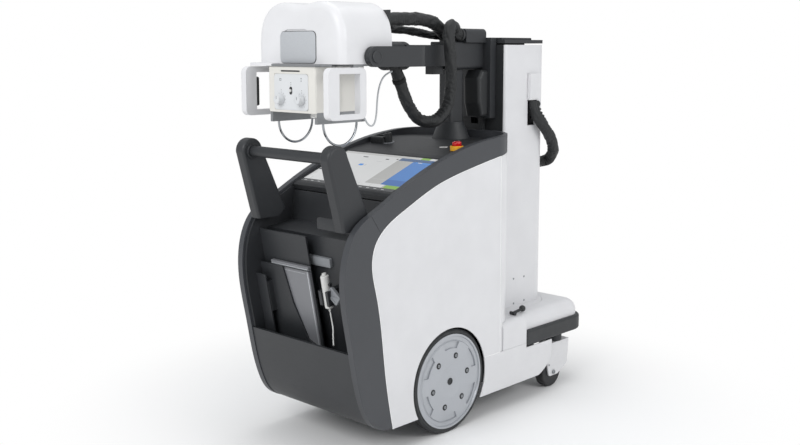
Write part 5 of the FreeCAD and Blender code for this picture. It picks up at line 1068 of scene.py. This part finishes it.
top_z = detector[1].z - 0.012
bezels = []
span = detector[1].x - detector[0].x
bar = slab(span - 0.010, 0.0042, 0.0007, 0.0010, 0.0003, 3)
bezels.append(seat(bar, on_detector((detector[0].x + detector[1].x) / 2, top_z), front_out, (1, 0, 0)))
side_bar = slab(0.0042, 0.300, 0.0007, 0.0010, 0.0003, 3)
bezels.append(seat(side_bar, on_detector(detector[1].x - 0.007, top_z - 0.146), front_out, (1, 0, 0)))
window = slab(span - 0.040, 0.0012, 0.0003, 0.0004, 0, 2)
bezels.append(seat(window, on_detector((detector[0].x + detector[1].x) / 2, top_z - 0.016), front_out,
                   (1, 0, 0)))
finished(join(bezels), "detector_bezel", silver_plate, "detector")

# %% [markdown]
# Above the detector is a plain tab, behind it a grey ridge on the bin's back wall, and beside it a
# holster for the hand switch, which has a small knob on its side.

# %% Bin fittings
tab = slab(0.195, 0.040, 0.004, 0.008, 0.0014, 5)
seat(tab, (0.147, -0.583, 0.797), (0, -1, 0), (1, 0, 0))
finished(tab, "bin_tab", charcoal, "chassis")
ridge_hit, ridge_out = touch("bin_tray", (0.012, -0.64, 0.658), (0, 1, 0))
print("bin back wall", [round(v, 4) for v in ridge_hit])
ridge = slab(0.142, 0.034, 0.012, 0.005, 0.003, 5)
seat(ridge, ridge_hit - ridge_out * 0.0005, ridge_out, (1, 0, 0))
finished(ridge, "bin_ridge", grey_block, "chassis")
holster = let_in(slab(0.058, 0.036, 0.012, 0.006, 0.002, 4), 0.005, 0.002)
seat(holster, (0.1425, -0.588, 0.560), (0, -1, 0), (0.82, 0, -0.57))
finished(holster, "switch_holster", grey_block, "chassis")
knob = disc(0.0062, 0.008, 0.0016, 28)
knob_hit, knob_out = touch("hand_switch", (0.2, -0.598, 0.597), (-1, 0, 0))
seat(knob, knob_hit - knob_out * 0.0004, knob_out)
finished(knob, "switch_side_knob", nylon, "hand_switch")

# %% [markdown]
# The wheels' silver discs carry bright bolt washers in black rings and a black hub plug. The castor
# forks show the axle's bolt head, and the column cover is held by small plugged screws.

# %% Wheel fittings
for side, sign in SIDES:
    rim_low, rim_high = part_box("drive_rim_" + side)
    hub = Vector((0, (rim_low.y + rim_high.y) / 2, (rim_low.z + rim_high.z) / 2))
    body = "drive_wheel_" + side
    rings, bolts = [], []
    for k in range(6):
        angle = math.radians(72 + 60 * k)
        place = hub + Vector((0, math.cos(angle), math.sin(angle))) * 0.095
        hit, _ = touch("drive_rim_" + side, place + Vector((sign * 0.6, 0, 0)), (-sign, 0, 0))
        washer = let_in(disc(0.0112, 0.0014, 0.0004, 32), 0.0022, 0.0006)
        rings.append(seat(washer, (hit.x - sign * 0.0003, place.y, place.z), (sign, 0, 0)))
        bolt = let_in(disc(0.0058, 0.0030, 0.0009, 24), 0.0026, 0.0014)
        bolts.append(seat(bolt, (hit.x, place.y, place.z), (sign, 0, 0)))
    finished(join(rings), "bolt_rings_" + side, nylon, body)
    finished(join(bolts), "wheel_bolts_" + side, steel, body)
    hit, _ = touch("drive_rim_" + side, hub + Vector((sign * 0.6, 0.020, 0)), (-sign, 0, 0))
    plug = let_in(disc(0.0130, 0.0026, 0.0010, 36), 0.0034, 0.0012)
    seat(plug, (hit.x - sign * 0.0003, hub.y, hub.z), (sign, 0, 0))
    finished(plug, "hub_plug_" + side, nylon, body)
    wheel_low, wheel_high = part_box("castor_wheel_" + side)
    axle = Vector((0, (wheel_low.y + wheel_high.y) / 2, (wheel_low.z + wheel_high.z) / 2))
    for place, radius, name in ((axle, 0.0090, "axle"), (axle + Vector((0, -0.031, 0.035)), 0.0032, "stud")):
        found, spot, _, _ = nodes["castor_fork_" + side].ray_cast(place + Vector((sign * 0.6, 0, 0)),
                                                                  Vector((-sign, 0, 0)))
        if found:
            bolt = let_in(disc(radius, 0.0034, 0.0010, 24), radius * 0.4, 0.0016)
            seat(bolt, (spot.x - sign * 0.0004, place.y, place.z), (sign, 0, 0))
            finished(bolt, "castor_%s_%s" % (name, side), steel, "castor_swivel_" + side)

# %% [markdown]
# The white side panel has a rolled lip where it meets the grey band. The lip's white is lighter and
# glossier than the panel's: a painted highlight that makes it the brightest line on the machine. It is
# made from the panel's own edge: the outer face's border is picked out, turned into a curve, given a
# round section, and made a mesh again. The band is in two lengths, so a fine dark joint crosses it at
# the shoulder.

# %% Panel lip and band joint
lip_source = nodes["side_panels"]
lip_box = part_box("side_panels")
face_x, rear = lip_box[1].x, lip_box[1].y - 0.0015
wheel_y, wheel_z = -0.153, 0.190
for side, sign in SIDES:
    edge = lip_source.copy()
    edge.data = lip_source.data.copy()
    bpy.context.scene.collection.objects.link(edge)
    edge.parent = None
    edge.matrix_world = lip_source.matrix_world.copy()
    bpy.ops.object.select_all(action="DESELECT")
    edge.select_set(True)
    bpy.context.view_layer.objects.active = edge
    bpy.ops.object.mode_set(mode="EDIT")
    bpy.ops.mesh.select_all(action="SELECT")
    bpy.ops.mesh.remove_doubles(threshold=0.00002)
    choose(lambda middle, normal: normal.x * sign > 0.95 and middle.x * sign > face_x - 0.0008)
    bpy.ops.mesh.region_to_loop()
    shape = bmesh.from_edit_mesh(edge.data)
    for line in shape.edges:
        middle = (line.verts[0].co + line.verts[1].co) / 2
        arch = math.hypot(middle.y - wheel_y, middle.z - wheel_z) < 0.205
        if line.select and (arch or middle.y > rear or middle.z < 0.1005):
            line.select_set(False)
    bmesh.update_edit_mesh(edge.data)
    picked = sum(line.select for line in bmesh.from_edit_mesh(edge.data).edges)
    bpy.ops.mesh.duplicate()
    bpy.ops.mesh.select_all(action="INVERT")
    bpy.ops.mesh.delete(type="VERT")
    bpy.ops.object.mode_set(mode="OBJECT")
    edge.data.materials.clear()
    bpy.ops.object.convert(target="CURVE")
    edge = bpy.context.object
    edge.data.bevel_depth, edge.data.bevel_resolution = 0.0016, 3
    bpy.ops.object.convert(target="MESH")
    edge = bpy.context.object
    print("lip", side, "edges", picked, "faces", len(edge.data.polygons))
    # The lip gets the lightened white, a painted highlight along the panel's edge.
    finished(edge, "panel_lip_" + side, lip_painted_highlight, "chassis", 60)
    joint = slab(0.0686, 0.0012, 0.0003, 0.0003, 0, 1)
    seat(joint, (sign * (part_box("side_bands")[1].x - 0.0001), -0.5323, 0.8129), (sign, 0, 0),
         (0, 0.039, -0.0566))
    finished(joint, "band_joint_" + side, dark_seam, "chassis")

# %% [markdown]
# Four small plugs hide the screws of the column's cover, on the side that the photo shows.

# %% Column plugs
plugs = []
for y, z in ((0.3908, 0.4584), (0.4602, 0.4571), (0.4627, 0.3573), (0.3932, 0.3555)):
    found, spot, normal, _ = nodes["column_cover"].ray_cast(Vector((0.6, y, z)), Vector((-1, 0, 0)))
    if found:
        plug = let_in(disc(0.0042, 0.0012, 0.0005, 20), 0.0014, 0.0005)
        plugs.append(seat(plug, spot - normal * 0.0002, normal))
if plugs:
    finished(join(plugs), "column_plugs", grey_block, "column")
print("fittings made:", len(made_pieces))
